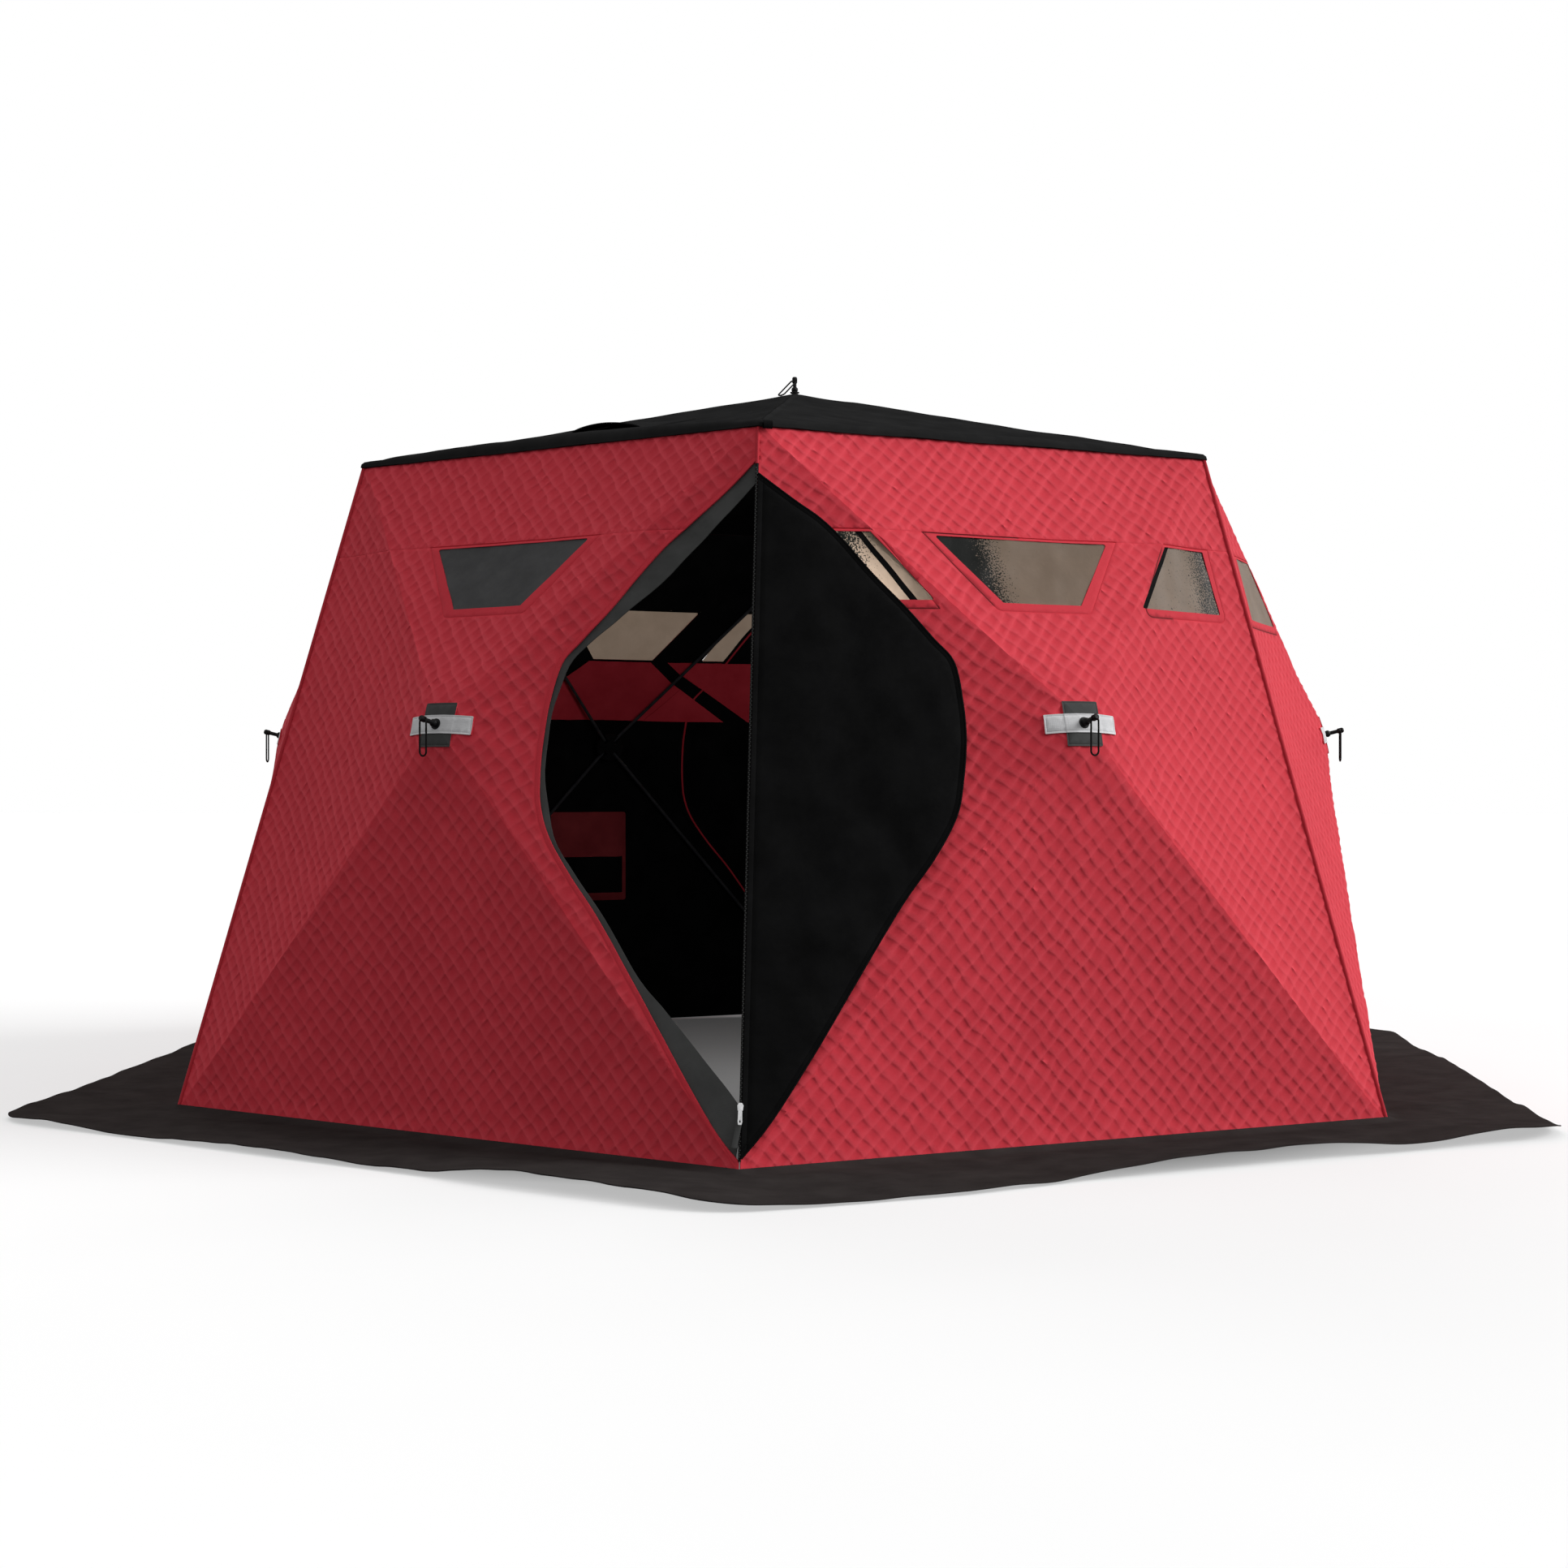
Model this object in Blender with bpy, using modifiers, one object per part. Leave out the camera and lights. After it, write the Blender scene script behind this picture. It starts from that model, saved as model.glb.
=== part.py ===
"""Pop-up hub shelter for ice fishing, with six bulged walls, a pyramid roof and two doors.

Metres, +Z up. The origin is on the ice at the middle of the floor. Corner 0 points to -Y, the
front, and the corners count anticlockwise seen from above. Wall k runs from corner k to k + 1.
Each wall and the roof is a shallow pyramid of quilted fabric that one hub pushes outwards over
hinged poles. The front door stands folded open at corner 0, and the back door is shut.
"""
from math import acos, atan2, cos, pi, radians, sin, tan

import bmesh
import bpy
from mathutils import Matrix, Vector

# Frame of the shelter
SIDES = 6
BASE_RADIUS = 1.830       # centre to a floor corner
EAVE_RADIUS = 1.322       # centre to an eave corner
EAVE_HEIGHT = 1.749
PEAK_HEIGHT = 2.043
HUB_APOTHEM = 1.571       # centre to a wall hub, straight out
HUB_HEIGHT = 1.013

# Fabric
FABRIC = 0.004            # quilted fabric and its lining
SEAM_GAP = 0.004          # a wall's edge stays this far from the corner line
WALL_CLEARANCE = 0.006    # wall hem above the ice, and wall top below the eave
HUB_HOLE_RADIUS = 0.012

# Windows, as outlines on the wall seen from straight outside: x along the wall, z up
WINDOW_TOP = 1.480
WINDOW_BOTTOM = 1.312
WINDOW_ROUNDING = 0.014
MIDDLE_WINDOW_HALF = (0.252, 0.113)       # half its width at the top and at the bottom
SIDE_WINDOW_INNER = (0.430, 0.300)        # x of the edge beside the pole, top and bottom
SIDE_WINDOW_OUTER = (0.590, 0.617)        # x of the edge beside the corner
STRIP_WINDOW_OUTER = (0.500, 0.440, 0.385)   # x beside the back door: top, waist and bottom
STRIP_WINDOW_WAIST = 1.395                # height of the waist
FILM = 0.0010
FILM_DEPTH = 0.0062       # the film's outer face behind the fabric's outer face
FILM_MARGIN = 0.018       # the film laps this far past its window

# Doors, on the triangle between a corner line and a hub: s along the corner line, t away from it
DOOR_FOOT = 0.030
DOOR_HEAD = 1.725
DOOR_WIDTH = 0.528
DOOR_WIDEST = (0.835, 1.195)              # s where the widest edge starts and ends
DOOR_ROUNDING = 0.150
DOOR_GAP = 0.004
HINGE_OFFSET = 0.001      # the hinge line outside the corner line
DOOR_STANDOFF = radians(0.5)              # the open door stops this much short of the wall

# Skirt
SKIRT_WIDTH = 0.400
SKIRT_THICKNESS = 0.004
SKIRT_ROUNDING = 0.200
SKIRT_LAP = 0.030         # the skirt runs this far under the walls

# Hub
HUB_RADIUS = 0.050
HUB_TOP = -0.030          # height of the hub's plate on its own axis; the fabric's tip is at 0
HUB_BOTTOM = -0.066
STEM_RADIUS = 0.010
PEG_RADIUS = 0.0055
TIP_RADIUS = 0.0078
TIP_HEIGHT = 0.060
ROOF_TIP_HEIGHT = 0.050
EYE_DROP = 0.010          # the eye's axis below the tip
EYE_RADIUS = 0.0031
PIVOT_RADIUS = 0.036      # pole hinge pin from the hub's axis
PIVOT_HEIGHT = -0.048
SLOT_WIDTH = 0.014
SLOT_START = 0.024

# Poles
POLE_RADIUS = 0.0055
POLE_TAIL = 0.008         # past the hinge pin, inside the hub
POLE_CUTBACK = 0.050      # the free end stops this far short of the corner
CORNER_DEPTH = 0.030      # the corner that a pole aims at, inside the fabric's corner

# Pull loops
CORD_RADIUS = 0.0023
LOOP_HALF_WIDTH = 0.0105
LOOP_LENGTH = 0.090
ROOF_LOOP_LENGTH = 0.095
ROOF_LOOP_DROP = radians(36.0)            # below level, where it lies on the roof

WALLS = ("front_right", "right", "back_right", "back_left", "left", "front_left")
CORNERS = ("front", "front_right", "back_right", "back", "back_left", "front_left")
DOOR_WALLS = {"front_left": 1, "back_left": -1}      # wall to the side of it that has the door

# A wall's own frame: x along the wall, y up its slope, z outwards; the hub's tip is its origin
BASE_APOTHEM = BASE_RADIUS * cos(pi / SIDES)
EAVE_APOTHEM = EAVE_RADIUS * cos(pi / SIDES)
SLOPE = Vector((0, BASE_APOTHEM - EAVE_APOTHEM, EAVE_HEIGHT)).normalized()
OUTWARD = Vector((0, -SLOPE.z, SLOPE.y))
HUB_POINT = Vector((0, -HUB_APOTHEM, HUB_HEIGHT))
WALL_AXES = Matrix((Vector((1, 0, 0)), SLOPE, OUTWARD)).transposed()
WALL_FRAME = Matrix.Translation(HUB_POINT) @ WALL_AXES.to_4x4()
ROOF_FACING = radians(-30)    # the roof hub's own x, so that its loop lies over the front left
ROOF_FRAME = Matrix.Translation((0, 0, PEAK_HEIGHT)) @ Matrix.Rotation(ROOF_FACING, 4, "Z")


def turn(wall):
    """Rotation that takes the wall facing -Y to wall number `wall`."""
    return Matrix.Rotation(pi / SIDES + wall * 2 * pi / SIDES, 4, "Z")


def corner(number, radius, height):
    """A corner of the shelter at this distance from its axis."""
    angle = -pi / 2 + number * 2 * pi / SIDES
    return Vector((radius * cos(angle), radius * sin(angle), height))


# ---------------------------------------------------------------- scene, materials, objects

def empty_scene():
    """Start from nothing."""
    for item in list(bpy.data.objects):
        bpy.data.objects.remove(item, do_unlink=True)


def new_collection(name):
    collection = bpy.data.collections.new(name)
    bpy.context.scene.collection.children.link(collection)
    return collection


def new_material(name, colour, roughness, metallic=0.0, alpha=1.0):
    material = bpy.data.materials.new(name)
    material.use_nodes = True
    shader = material.node_tree.nodes["Principled BSDF"]
    shader.inputs["Base Color"].default_value = (*colour, 1.0)
    shader.inputs["Roughness"].default_value = roughness
    shader.inputs["Metallic"].default_value = metallic
    shader.inputs["Alpha"].default_value = alpha
    return material


def add(name, data, material, matrix, parent=None, parent_matrix=None):
    """Put a mesh or curve in the shelter's collection, at a world matrix."""
    item = bpy.data.objects.new(name, data)
    data.materials.append(material)
    parts.objects.link(item)
    if parent:
        item.parent = parent
        item.matrix_local = parent_matrix.inverted() @ matrix
    else:
        item.matrix_local = matrix
    return item


def add_cutter(name, mesh, matrix):
    """Put a mesh in the cutters' collection; a cutter is never part of the shelter."""
    item = bpy.data.objects.new(name, mesh)
    cutters.objects.link(item)
    item.matrix_local = matrix
    item.hide_render = True
    item.display_type = "WIRE"
    return item


def boolean(item, cutter, operation="DIFFERENCE"):
    modifier = item.modifiers.new(cutter.name, "BOOLEAN")
    modifier.operation = operation
    modifier.solver = "EXACT"
    modifier.object = cutter


def solidify(item, thickness):
    """Give an open surface this thickness, inwards from its outer face."""
    modifier = item.modifiers.new("thickness", "SOLIDIFY")
    modifier.thickness = thickness
    modifier.offset = -1
    modifier.use_even_offset = True


# ---------------------------------------------------------------- shapes

def rounded(points, radii, steps=6):
    """A closed outline through the points, each corner rounded to its radius."""
    outline = []
    count = len(points)
    for index, radius in enumerate(radii):
        here = Vector(points[index])
        before = (Vector(points[index - 1]) - here).normalized()
        after = (Vector(points[(index + 1) % count]) - here).normalized()
        if radius == 0:
            outline.append(here)
            continue
        half = acos(max(-1.0, min(1.0, before.dot(after)))) / 2
        middle = here + (before + after).normalized() * radius / sin(half)
        first = here + before * radius / tan(half) - middle
        last = here + after * radius / tan(half) - middle
        sweep = first.angle_signed(last)
        for step in range(steps + 1):
            angle = -sweep * step / steps
            outline.append(middle + Matrix.Rotation(angle, 2) @ first)
    return outline


def flat_curve(name, outlines, thickness):
    """A 2D curve, filled and extruded to a plate centred on its own plane."""
    curve = bpy.data.curves.new(name, "CURVE")
    curve.dimensions = "2D"
    curve.fill_mode = "BOTH"
    curve.extrude = thickness / 2
    for outline in outlines:
        spline = curve.splines.new("POLY")
        spline.points.add(len(outline) - 1)
        for point, place in zip(spline.points, outline):
            point.co = (place.x, place.y, 0, 1)
        spline.use_cyclic_u = True
    return curve


def plate_mesh(name, outlines, thickness):
    """The same plate as a closed mesh, so that it can cut or be cut."""
    curve = flat_curve(name, outlines, thickness)
    holder = bpy.data.objects.new(name, curve)
    parts.objects.link(holder)
    evaluated = holder.evaluated_get(bpy.context.evaluated_depsgraph_get())
    mesh = bpy.data.meshes.new_from_object(evaluated)
    bpy.data.objects.remove(holder, do_unlink=True)
    bpy.data.curves.remove(curve)
    shape = bmesh.new()
    shape.from_mesh(mesh)
    bmesh.ops.remove_doubles(shape, verts=shape.verts, dist=0.00001)
    shape.to_mesh(mesh)
    shape.free()
    mesh.name = name
    return mesh


def pyramid_mesh(name, corners):
    """An open pyramid over these corners, anticlockwise from outside, with its tip at the origin."""
    shape = bmesh.new()
    bmesh.ops.create_cone(shape, segments=len(corners), radius1=1, radius2=0, depth=1)
    bmesh.ops.remove_doubles(shape, verts=shape.verts, dist=0.00001)
    ring = [vert for vert in shape.verts if vert.co.z < 0]
    tip = next(vert for vert in shape.verts if vert.co.z > 0)
    ring.sort(key=lambda vert: atan2(vert.co.y, vert.co.x))
    for vert, place in zip(ring, sorted(corners, key=lambda place: atan2(place[1], place[0]))):
        vert.co = place
    tip.co = (0, 0, 0)
    mesh = bpy.data.meshes.new(name)
    shape.to_mesh(mesh)
    shape.free()
    return mesh


def cylinder_mesh(name, radius, length, segments, matrix=Matrix()):
    shape = bmesh.new()
    bmesh.ops.create_cone(shape, cap_ends=True, segments=segments, radius1=radius,
                          radius2=radius, depth=length, matrix=matrix)
    mesh = bpy.data.meshes.new(name)
    shape.to_mesh(mesh)
    shape.free()
    return mesh


def box_mesh(name, low, high):
    low, high = Vector(low), Vector(high)
    size = Matrix.Diagonal((high - low).to_4d())
    size[3][3] = 1
    shape = bmesh.new()
    bmesh.ops.create_cube(shape, size=1, matrix=Matrix.Translation((low + high) / 2) @ size)
    mesh = bpy.data.meshes.new(name)
    shape.to_mesh(mesh)
    shape.free()
    return mesh


# ---------------------------------------------------------------- fabric walls and windows

def wall_corners():
    """The wall's four corners in its own frame, a little inside the corner lines."""
    places = []
    for side, radius, height, lift in ((-1, BASE_RADIUS, 0, 1), (1, BASE_RADIUS, 0, 1),
                                       (1, EAVE_RADIUS, EAVE_HEIGHT, -1),
                                       (-1, EAVE_RADIUS, EAVE_HEIGHT, -1)):
        x = side * (radius / 2 - SEAM_GAP)
        y = -radius * cos(pi / SIDES)
        place = Vector((x, y, height)) + SLOPE * WALL_CLEARANCE * lift
        places.append(WALL_FRAME.inverted() @ place)
    return places


def upright_plate(outline, wall, name, depth=1.0):
    """A cutter whose outline is drawn on the upright plane that faces the wall."""
    upright = Matrix.Translation((0, -HUB_APOTHEM, 0)) @ Matrix.Rotation(pi / 2, 4, "X")
    return add_cutter(name, plate_mesh(name, [outline], depth), turn(wall) @ upright)


def middle_window(grow=0.0):
    top, bottom = MIDDLE_WINDOW_HALF
    points = [(-bottom - grow, WINDOW_BOTTOM - grow), (bottom + grow, WINDOW_BOTTOM - grow),
              (top + grow, WINDOW_TOP + grow), (-top - grow, WINDOW_TOP + grow)]
    return points


def side_window(side, grow=0.0):
    points = [(SIDE_WINDOW_INNER[1] - grow, WINDOW_BOTTOM - grow),
              (SIDE_WINDOW_OUTER[1] + grow, WINDOW_BOTTOM - grow),
              (SIDE_WINDOW_OUTER[0] + grow, WINDOW_TOP + grow),
              (SIDE_WINDOW_INNER[0] - grow, WINDOW_TOP + grow)]
    return [(side * x, z) for x, z in points]


def strip_window(side, grow=0.0):
    """The narrow window between a pole and the back door."""
    top, waist, bottom = STRIP_WINDOW_OUTER
    points = [(SIDE_WINDOW_INNER[1] - grow, WINDOW_BOTTOM - grow),
              (bottom, WINDOW_BOTTOM - grow), (waist + grow, STRIP_WINDOW_WAIST),
              (top + grow, WINDOW_TOP + grow), (SIDE_WINDOW_INNER[0] - grow, WINDOW_TOP + grow)]
    return [(side * x, z) for x, z in points]


def window_outlines(wall):
    """Which windows a wall has."""
    if wall == "front_left":
        return {"middle": middle_window()}
    if wall == "back_left":
        return {"middle": middle_window(), "strip": strip_window(-1)}
    return {"left": side_window(-1), "middle": middle_window(), "right": side_window(1)}


def film_outline(wall):
    """One band of film backs all the windows of a wall."""
    if wall == "front_left":
        return middle_window(FILM_MARGIN)
    middle = middle_window(FILM_MARGIN)
    if wall == "back_left":
        strip = strip_window(-1, FILM_MARGIN)
        return [strip[1], middle[1], middle[2], strip[3], strip[2]]
    left, right = side_window(-1, FILM_MARGIN), side_window(1, FILM_MARGIN)
    return [left[1], right[1], right[2], left[2]]


def build_wall(number, name):
    """The wall's fabric, with its windows, its doorway and the hole for the hub's stem."""
    matrix = turn(number) @ WALL_FRAME
    wall = add("wall_" + name, pyramid_mesh("wall_" + name, wall_corners()), red_quilt, matrix)
    solidify(wall, FABRIC)
    for label, outline in window_outlines(name).items():
        radii = [WINDOW_ROUNDING] * len(outline)
        cutter = upright_plate(rounded(outline, radii, 3), number, f"cut_{name}_{label}")
        boolean(wall, cutter)
    if name in DOOR_WALLS:
        frame = door_frame(0 if name == "front_left" else 3, DOOR_WALLS[name])
        cut = plate_mesh("doorway_" + name, [door_outline(0.0, -0.030)], 0.060)
        boolean(wall, add_cutter("doorway_" + name, cut, frame))
    hole = cylinder_mesh("hole_" + name, HUB_HOLE_RADIUS, 0.060, 16)
    boolean(wall, add_cutter("hole_" + name, hole, matrix))

    film = add("window_film_" + name, pyramid_mesh("film_" + name, wall_corners()), clear_film,
               matrix @ Matrix.Translation((0, 0, -FILM_DEPTH)))
    solidify(film, FILM)
    band = film_outline(name)
    cutter = upright_plate([Vector(place) for place in band], number, f"band_{name}")
    boolean(film, cutter, "INTERSECT")


def build_roof():
    """The roof's fabric: a hexagonal pyramid over the eaves."""
    eaves = [corner(number, EAVE_RADIUS, EAVE_HEIGHT - PEAK_HEIGHT) for number in range(SIDES)]
    roof = add("roof", pyramid_mesh("roof", eaves), roof_fabric,
               Matrix.Translation((0, 0, PEAK_HEIGHT)))
    solidify(roof, FABRIC)
    hole = cylinder_mesh("hole_roof", HUB_HOLE_RADIUS, 0.060, 16)
    boolean(roof, add_cutter("hole_roof", hole, Matrix.Translation((0, 0, PEAK_HEIGHT))))


def build_skirt():
    """The snow skirt: a flat hexagonal ring on the ice, round at its corners."""
    outer_radius = BASE_RADIUS + SKIRT_WIDTH / cos(pi / SIDES)
    outer = [corner(number, outer_radius, 0).to_2d() for number in range(SIDES)]
    inner = [corner(number, BASE_RADIUS - SKIRT_LAP, 0).to_2d() for number in range(SIDES)]
    outlines = [rounded(outer, [SKIRT_ROUNDING] * SIDES, 8), inner]
    mesh = plate_mesh("skirt", outlines, SKIRT_THICKNESS)
    add("skirt", mesh, skirt_fabric, Matrix.Translation((0, 0, SKIRT_THICKNESS / 2)))


# ---------------------------------------------------------------- doors

def facet_frame(number, side):
    """Frame on the wall triangle beside a corner: x up the corner line, y away from it."""
    foot, head = corner(number, BASE_RADIUS, 0), corner(number, EAVE_RADIUS, EAVE_HEIGHT)
    wall = number - 1 if side > 0 else number
    hub = turn(wall) @ HUB_POINT
    along = (head - foot).normalized()
    across = (hub - foot) - along * (hub - foot).dot(along)
    across.normalize()
    normal = along.cross(across)
    return Matrix.Translation(foot) @ Matrix((along, across, normal)).transposed().to_4x4()


def door_frame(number, side):
    """The door's frame when it is shut. Its plate runs from the fabric's outer face inwards."""
    frame = facet_frame(number, side)
    inwards = -1 if outer_side(frame) else 1
    return frame @ Matrix.Translation((0, 0, inwards * FABRIC / 2))


def outer_side(frame):
    """Whether the frame's z points away from the shelter's middle."""
    return frame.col[2].to_3d().dot(frame.translation) > 0


def door_outline(gap, hinge_edge):
    """Leaf-shaped outline with its straight side along the hinge."""
    foot = (DOOR_FOOT + 2 * gap, hinge_edge)
    head = (DOOR_HEAD - 2 * gap, hinge_edge)
    low = (DOOR_WIDEST[0] + gap / 2, DOOR_WIDTH - gap)
    high = (DOOR_WIDEST[1] - gap / 2, DOOR_WIDTH - gap)
    foot_side = (DOOR_FOOT + 2 * gap, max(hinge_edge, 0))
    head_side = (DOOR_HEAD - 2 * gap, max(hinge_edge, 0))
    points = [foot, foot_side, low, high, head_side, head]
    radii = [0, 0, DOOR_ROUNDING, DOOR_ROUNDING, 0, 0]
    if hinge_edge >= 0:
        points, radii = points[1:5], radii[1:5]
    return rounded(points, radii, 10)


def exterior_angle():
    """Angle through which a door folds, from its own wall round to the next one."""
    left, right = facet_frame(0, 1), facet_frame(0, -1)
    across = left.col[1].to_3d().angle(right.col[1].to_3d())
    return 2 * pi - across


def build_door(name, number, side, fold):
    """A door hinged on a corner line, folded outwards by this angle from shut."""
    shut = door_frame(number, side)
    radial = corner(number, 1, 0)
    along = shut.col[0].to_3d()
    outwards = (radial - along * radial.dot(along)).normalized()
    hinge = corner(number, BASE_RADIUS, 0) + outwards * HINGE_OFFSET
    swing = (Matrix.Translation(hinge) @ Matrix.Rotation(side * fold, 4, along)
             @ Matrix.Translation(-hinge))
    origin = Matrix.Translation(hinge)
    mesh = plate_mesh(name, [door_outline(DOOR_GAP, DOOR_GAP)], FABRIC)
    mesh.transform(origin.inverted() @ swing @ shut)
    return add(name, mesh, black_lining, origin)


# ---------------------------------------------------------------- hubs, poles and pull loops

def hub_mesh(tip):
    """A hub: a slotted plate inside, a stem through the fabric, and a peg with an eye outside."""
    profile = [(0, tip), (TIP_RADIUS - 0.0025, tip), (TIP_RADIUS, tip - 0.0035),
               (TIP_RADIUS, tip - 0.016), (PEG_RADIUS, tip - 0.020), (PEG_RADIUS, 0.020),
               (0.0070, 0.0185), (0.0092, 0.0160), (0.0102, 0.0120), (0.0092, 0.0080),
               (0.0080, 0.0060), (0.0140, 0.0045), (0.0140, 0.0015), (STEM_RADIUS, 0.0015),
               (STEM_RADIUS, HUB_TOP),
               (HUB_RADIUS - 0.004, HUB_TOP), (HUB_RADIUS, HUB_TOP - 0.004),
               (HUB_RADIUS, HUB_BOTTOM + 0.004), (HUB_RADIUS - 0.004, HUB_BOTTOM),
               (0, HUB_BOTTOM)]
    mesh = bpy.data.meshes.new("hub")
    verts = [(radius, 0, height) for radius, height in profile]
    mesh.from_pydata(verts, [(i, i + 1) for i in range(len(verts) - 1)], [])
    return mesh


def build_hub(name, matrix, spokes, tip):
    """A hub with one slot for each pole. spokes are the poles' directions in its own plane."""
    hub = add(name, hub_mesh(tip), hub_plastic, matrix)
    screw = hub.modifiers.new("turned", "SCREW")
    screw.axis = "Z"
    screw.steps = screw.render_steps = 16
    screw.use_merge_vertices = True
    screw.merge_threshold = 0.00001
    slot = box_mesh("slot", (SLOT_START, -SLOT_WIDTH / 2, HUB_BOTTOM - 0.01),
                    (HUB_RADIUS + 0.02, SLOT_WIDTH / 2, HUB_TOP + 0.005))
    for number, spoke in enumerate(spokes):
        place = matrix @ Matrix.Rotation(spoke, 4, "Z")
        boolean(hub, add_cutter(f"slot_{name}_{number}", slot, place))
    eye = cylinder_mesh("eye", EYE_RADIUS, 0.04, 12, Matrix.Rotation(pi / 2, 4, "Y"))
    place = matrix @ Matrix.Translation((0, 0, tip - EYE_DROP))
    boolean(hub, add_cutter("eye_" + name, eye, place))
    return hub


def build_pole(name, hub, hub_matrix, spoke, target):
    """A pole hinged on its hub; its origin is the hinge pin and its y is the pin's axis."""
    pin = Vector((PIVOT_RADIUS * cos(spoke), PIVOT_RADIUS * sin(spoke), PIVOT_HEIGHT))
    along = (target - pin).normalized()
    axis = Vector((-sin(spoke), cos(spoke), 0))
    frame = Matrix((along, axis, along.cross(axis))).transposed().to_4x4()
    length = (target - pin).length - POLE_CUTBACK + POLE_TAIL
    lay = Matrix.Translation((length / 2 - POLE_TAIL, 0, 0)) @ Matrix.Rotation(pi / 2, 4, "Y")
    mesh = cylinder_mesh(name, POLE_RADIUS, length, 12, lay)
    mesh.shade_smooth()
    mesh.set_sharp_from_angle(angle=radians(40))
    matrix = hub_matrix @ Matrix.Translation(pin) @ frame
    add(name, mesh, pole_rod, matrix, hub, hub_matrix)


def build_loop(name, hub, hub_matrix, tip, direction, length):
    """A pull loop of thin cord through the hub's eye; its origin is the eye."""
    half = LOOP_HALF_WIDTH
    corners = [(-half, 0), (-half, -length), (half, -length), (half, 0)]
    outline = rounded(corners, [0.003, half * 0.98, half * 0.98, 0.003], 5)
    curve = bpy.data.curves.new(name, "CURVE")
    curve.dimensions = "3D"
    curve.bevel_depth = CORD_RADIUS
    curve.bevel_resolution = 1
    spline = curve.splines.new("POLY")
    spline.points.add(len(outline) - 1)
    for point, place in zip(spline.points, outline):
        point.co = (place.x, place.y, 0, 1)
    spline.use_cyclic_u = True
    hang = atan2(-direction[1], -direction[0])
    matrix = (hub_matrix @ Matrix.Translation((0, 0, tip - EYE_DROP))
              @ Matrix.Rotation(hang, 4, "X"))
    add(name, curve, cord, matrix, hub, hub_matrix)


def corner_targets():
    """Where the four poles of a wall aim, in the wall's frame, by the corner's name."""
    drop = (WALL_FRAME.inverted() @ Vector((0, -BASE_APOTHEM, 0)))
    rise = (WALL_FRAME.inverted() @ Vector((0, -EAVE_APOTHEM, EAVE_HEIGHT)))
    targets = {}
    for level, base, radius in (("lower", drop, BASE_RADIUS), ("upper", rise, EAVE_RADIUS)):
        for side, sign in (("left", -1), ("right", 1)):
            place = Vector((sign * radius / 2, base.y, base.z - CORNER_DEPTH))
            targets[f"{level}_{side}"] = place
    return targets


def build_wall_frame(number, name):
    """The hub, the four poles and the pull loop of one wall."""
    matrix = turn(number) @ WALL_FRAME
    targets = corner_targets()
    spokes = {label: atan2(place.y, place.x) for label, place in targets.items()}
    hub = build_hub("hub_" + name, matrix, spokes.values(), TIP_HEIGHT)
    for label, place in targets.items():
        build_pole(f"pole_{name}_{label}", hub, matrix, spokes[label], place)
    hanging = (-SLOPE.z, -OUTWARD.z)
    build_loop("pull_loop_" + name, hub, matrix, TIP_HEIGHT, hanging, LOOP_LENGTH)


def build_roof_frame():
    """The hub, the six poles and the pull loop of the roof."""
    spokes = [number * 2 * pi / SIDES - pi / 3 for number in range(SIDES)]
    hub = build_hub("hub_roof", ROOF_FRAME, spokes, ROOF_TIP_HEIGHT)
    for spoke, name in zip(spokes, CORNERS):
        target = Vector((EAVE_RADIUS * cos(spoke), EAVE_RADIUS * sin(spoke),
                         EAVE_HEIGHT - PEAK_HEIGHT - CORNER_DEPTH))
        build_pole("pole_roof_" + name, hub, ROOF_FRAME, spoke, target)
    direction = (-cos(ROOF_LOOP_DROP), -sin(ROOF_LOOP_DROP))
    build_loop("pull_loop_roof", hub, ROOF_FRAME, ROOF_TIP_HEIGHT, direction,
               ROOF_LOOP_LENGTH)


# ---------------------------------------------------------------- the shelter

empty_scene()
parts = new_collection("ice_fishing_shelter")
cutters = new_collection("cutters")

red_quilt = new_material("red_quilt", (0.50, 0.035, 0.055), 0.85)
black_lining = new_material("black_lining", (0.012, 0.012, 0.013), 0.80)
roof_fabric = new_material("roof_fabric", (0.020, 0.020, 0.021), 0.80)
skirt_fabric = new_material("skirt_fabric", (0.022, 0.021, 0.021), 0.75)
clear_film = new_material("clear_film", (0.35, 0.32, 0.28), 0.15, alpha=0.45)
hub_plastic = new_material("hub_plastic", (0.015, 0.015, 0.016), 0.45)
pole_rod = new_material("pole_rod", (0.030, 0.031, 0.033), 0.40)
cord = new_material("cord", (0.060, 0.058, 0.055), 0.70)

for wall_number, wall_name in enumerate(WALLS):
    build_wall(wall_number, wall_name)
    build_wall_frame(wall_number, wall_name)
build_roof()
build_roof_frame()
build_skirt()
build_door("door_front", 0, 1, exterior_angle() - DOOR_STANDOFF)
build_door("door_back", 3, -1, 0.0)
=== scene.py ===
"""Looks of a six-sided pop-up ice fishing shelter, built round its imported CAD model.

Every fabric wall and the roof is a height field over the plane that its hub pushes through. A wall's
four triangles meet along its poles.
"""
from math import acos, atan2, cos, pi, radians, sin, tan

import bmesh
import bpy
import numpy as np
from mathutils import Matrix, Vector
from mathutils.geometry import delaunay_2d_cdt


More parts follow.
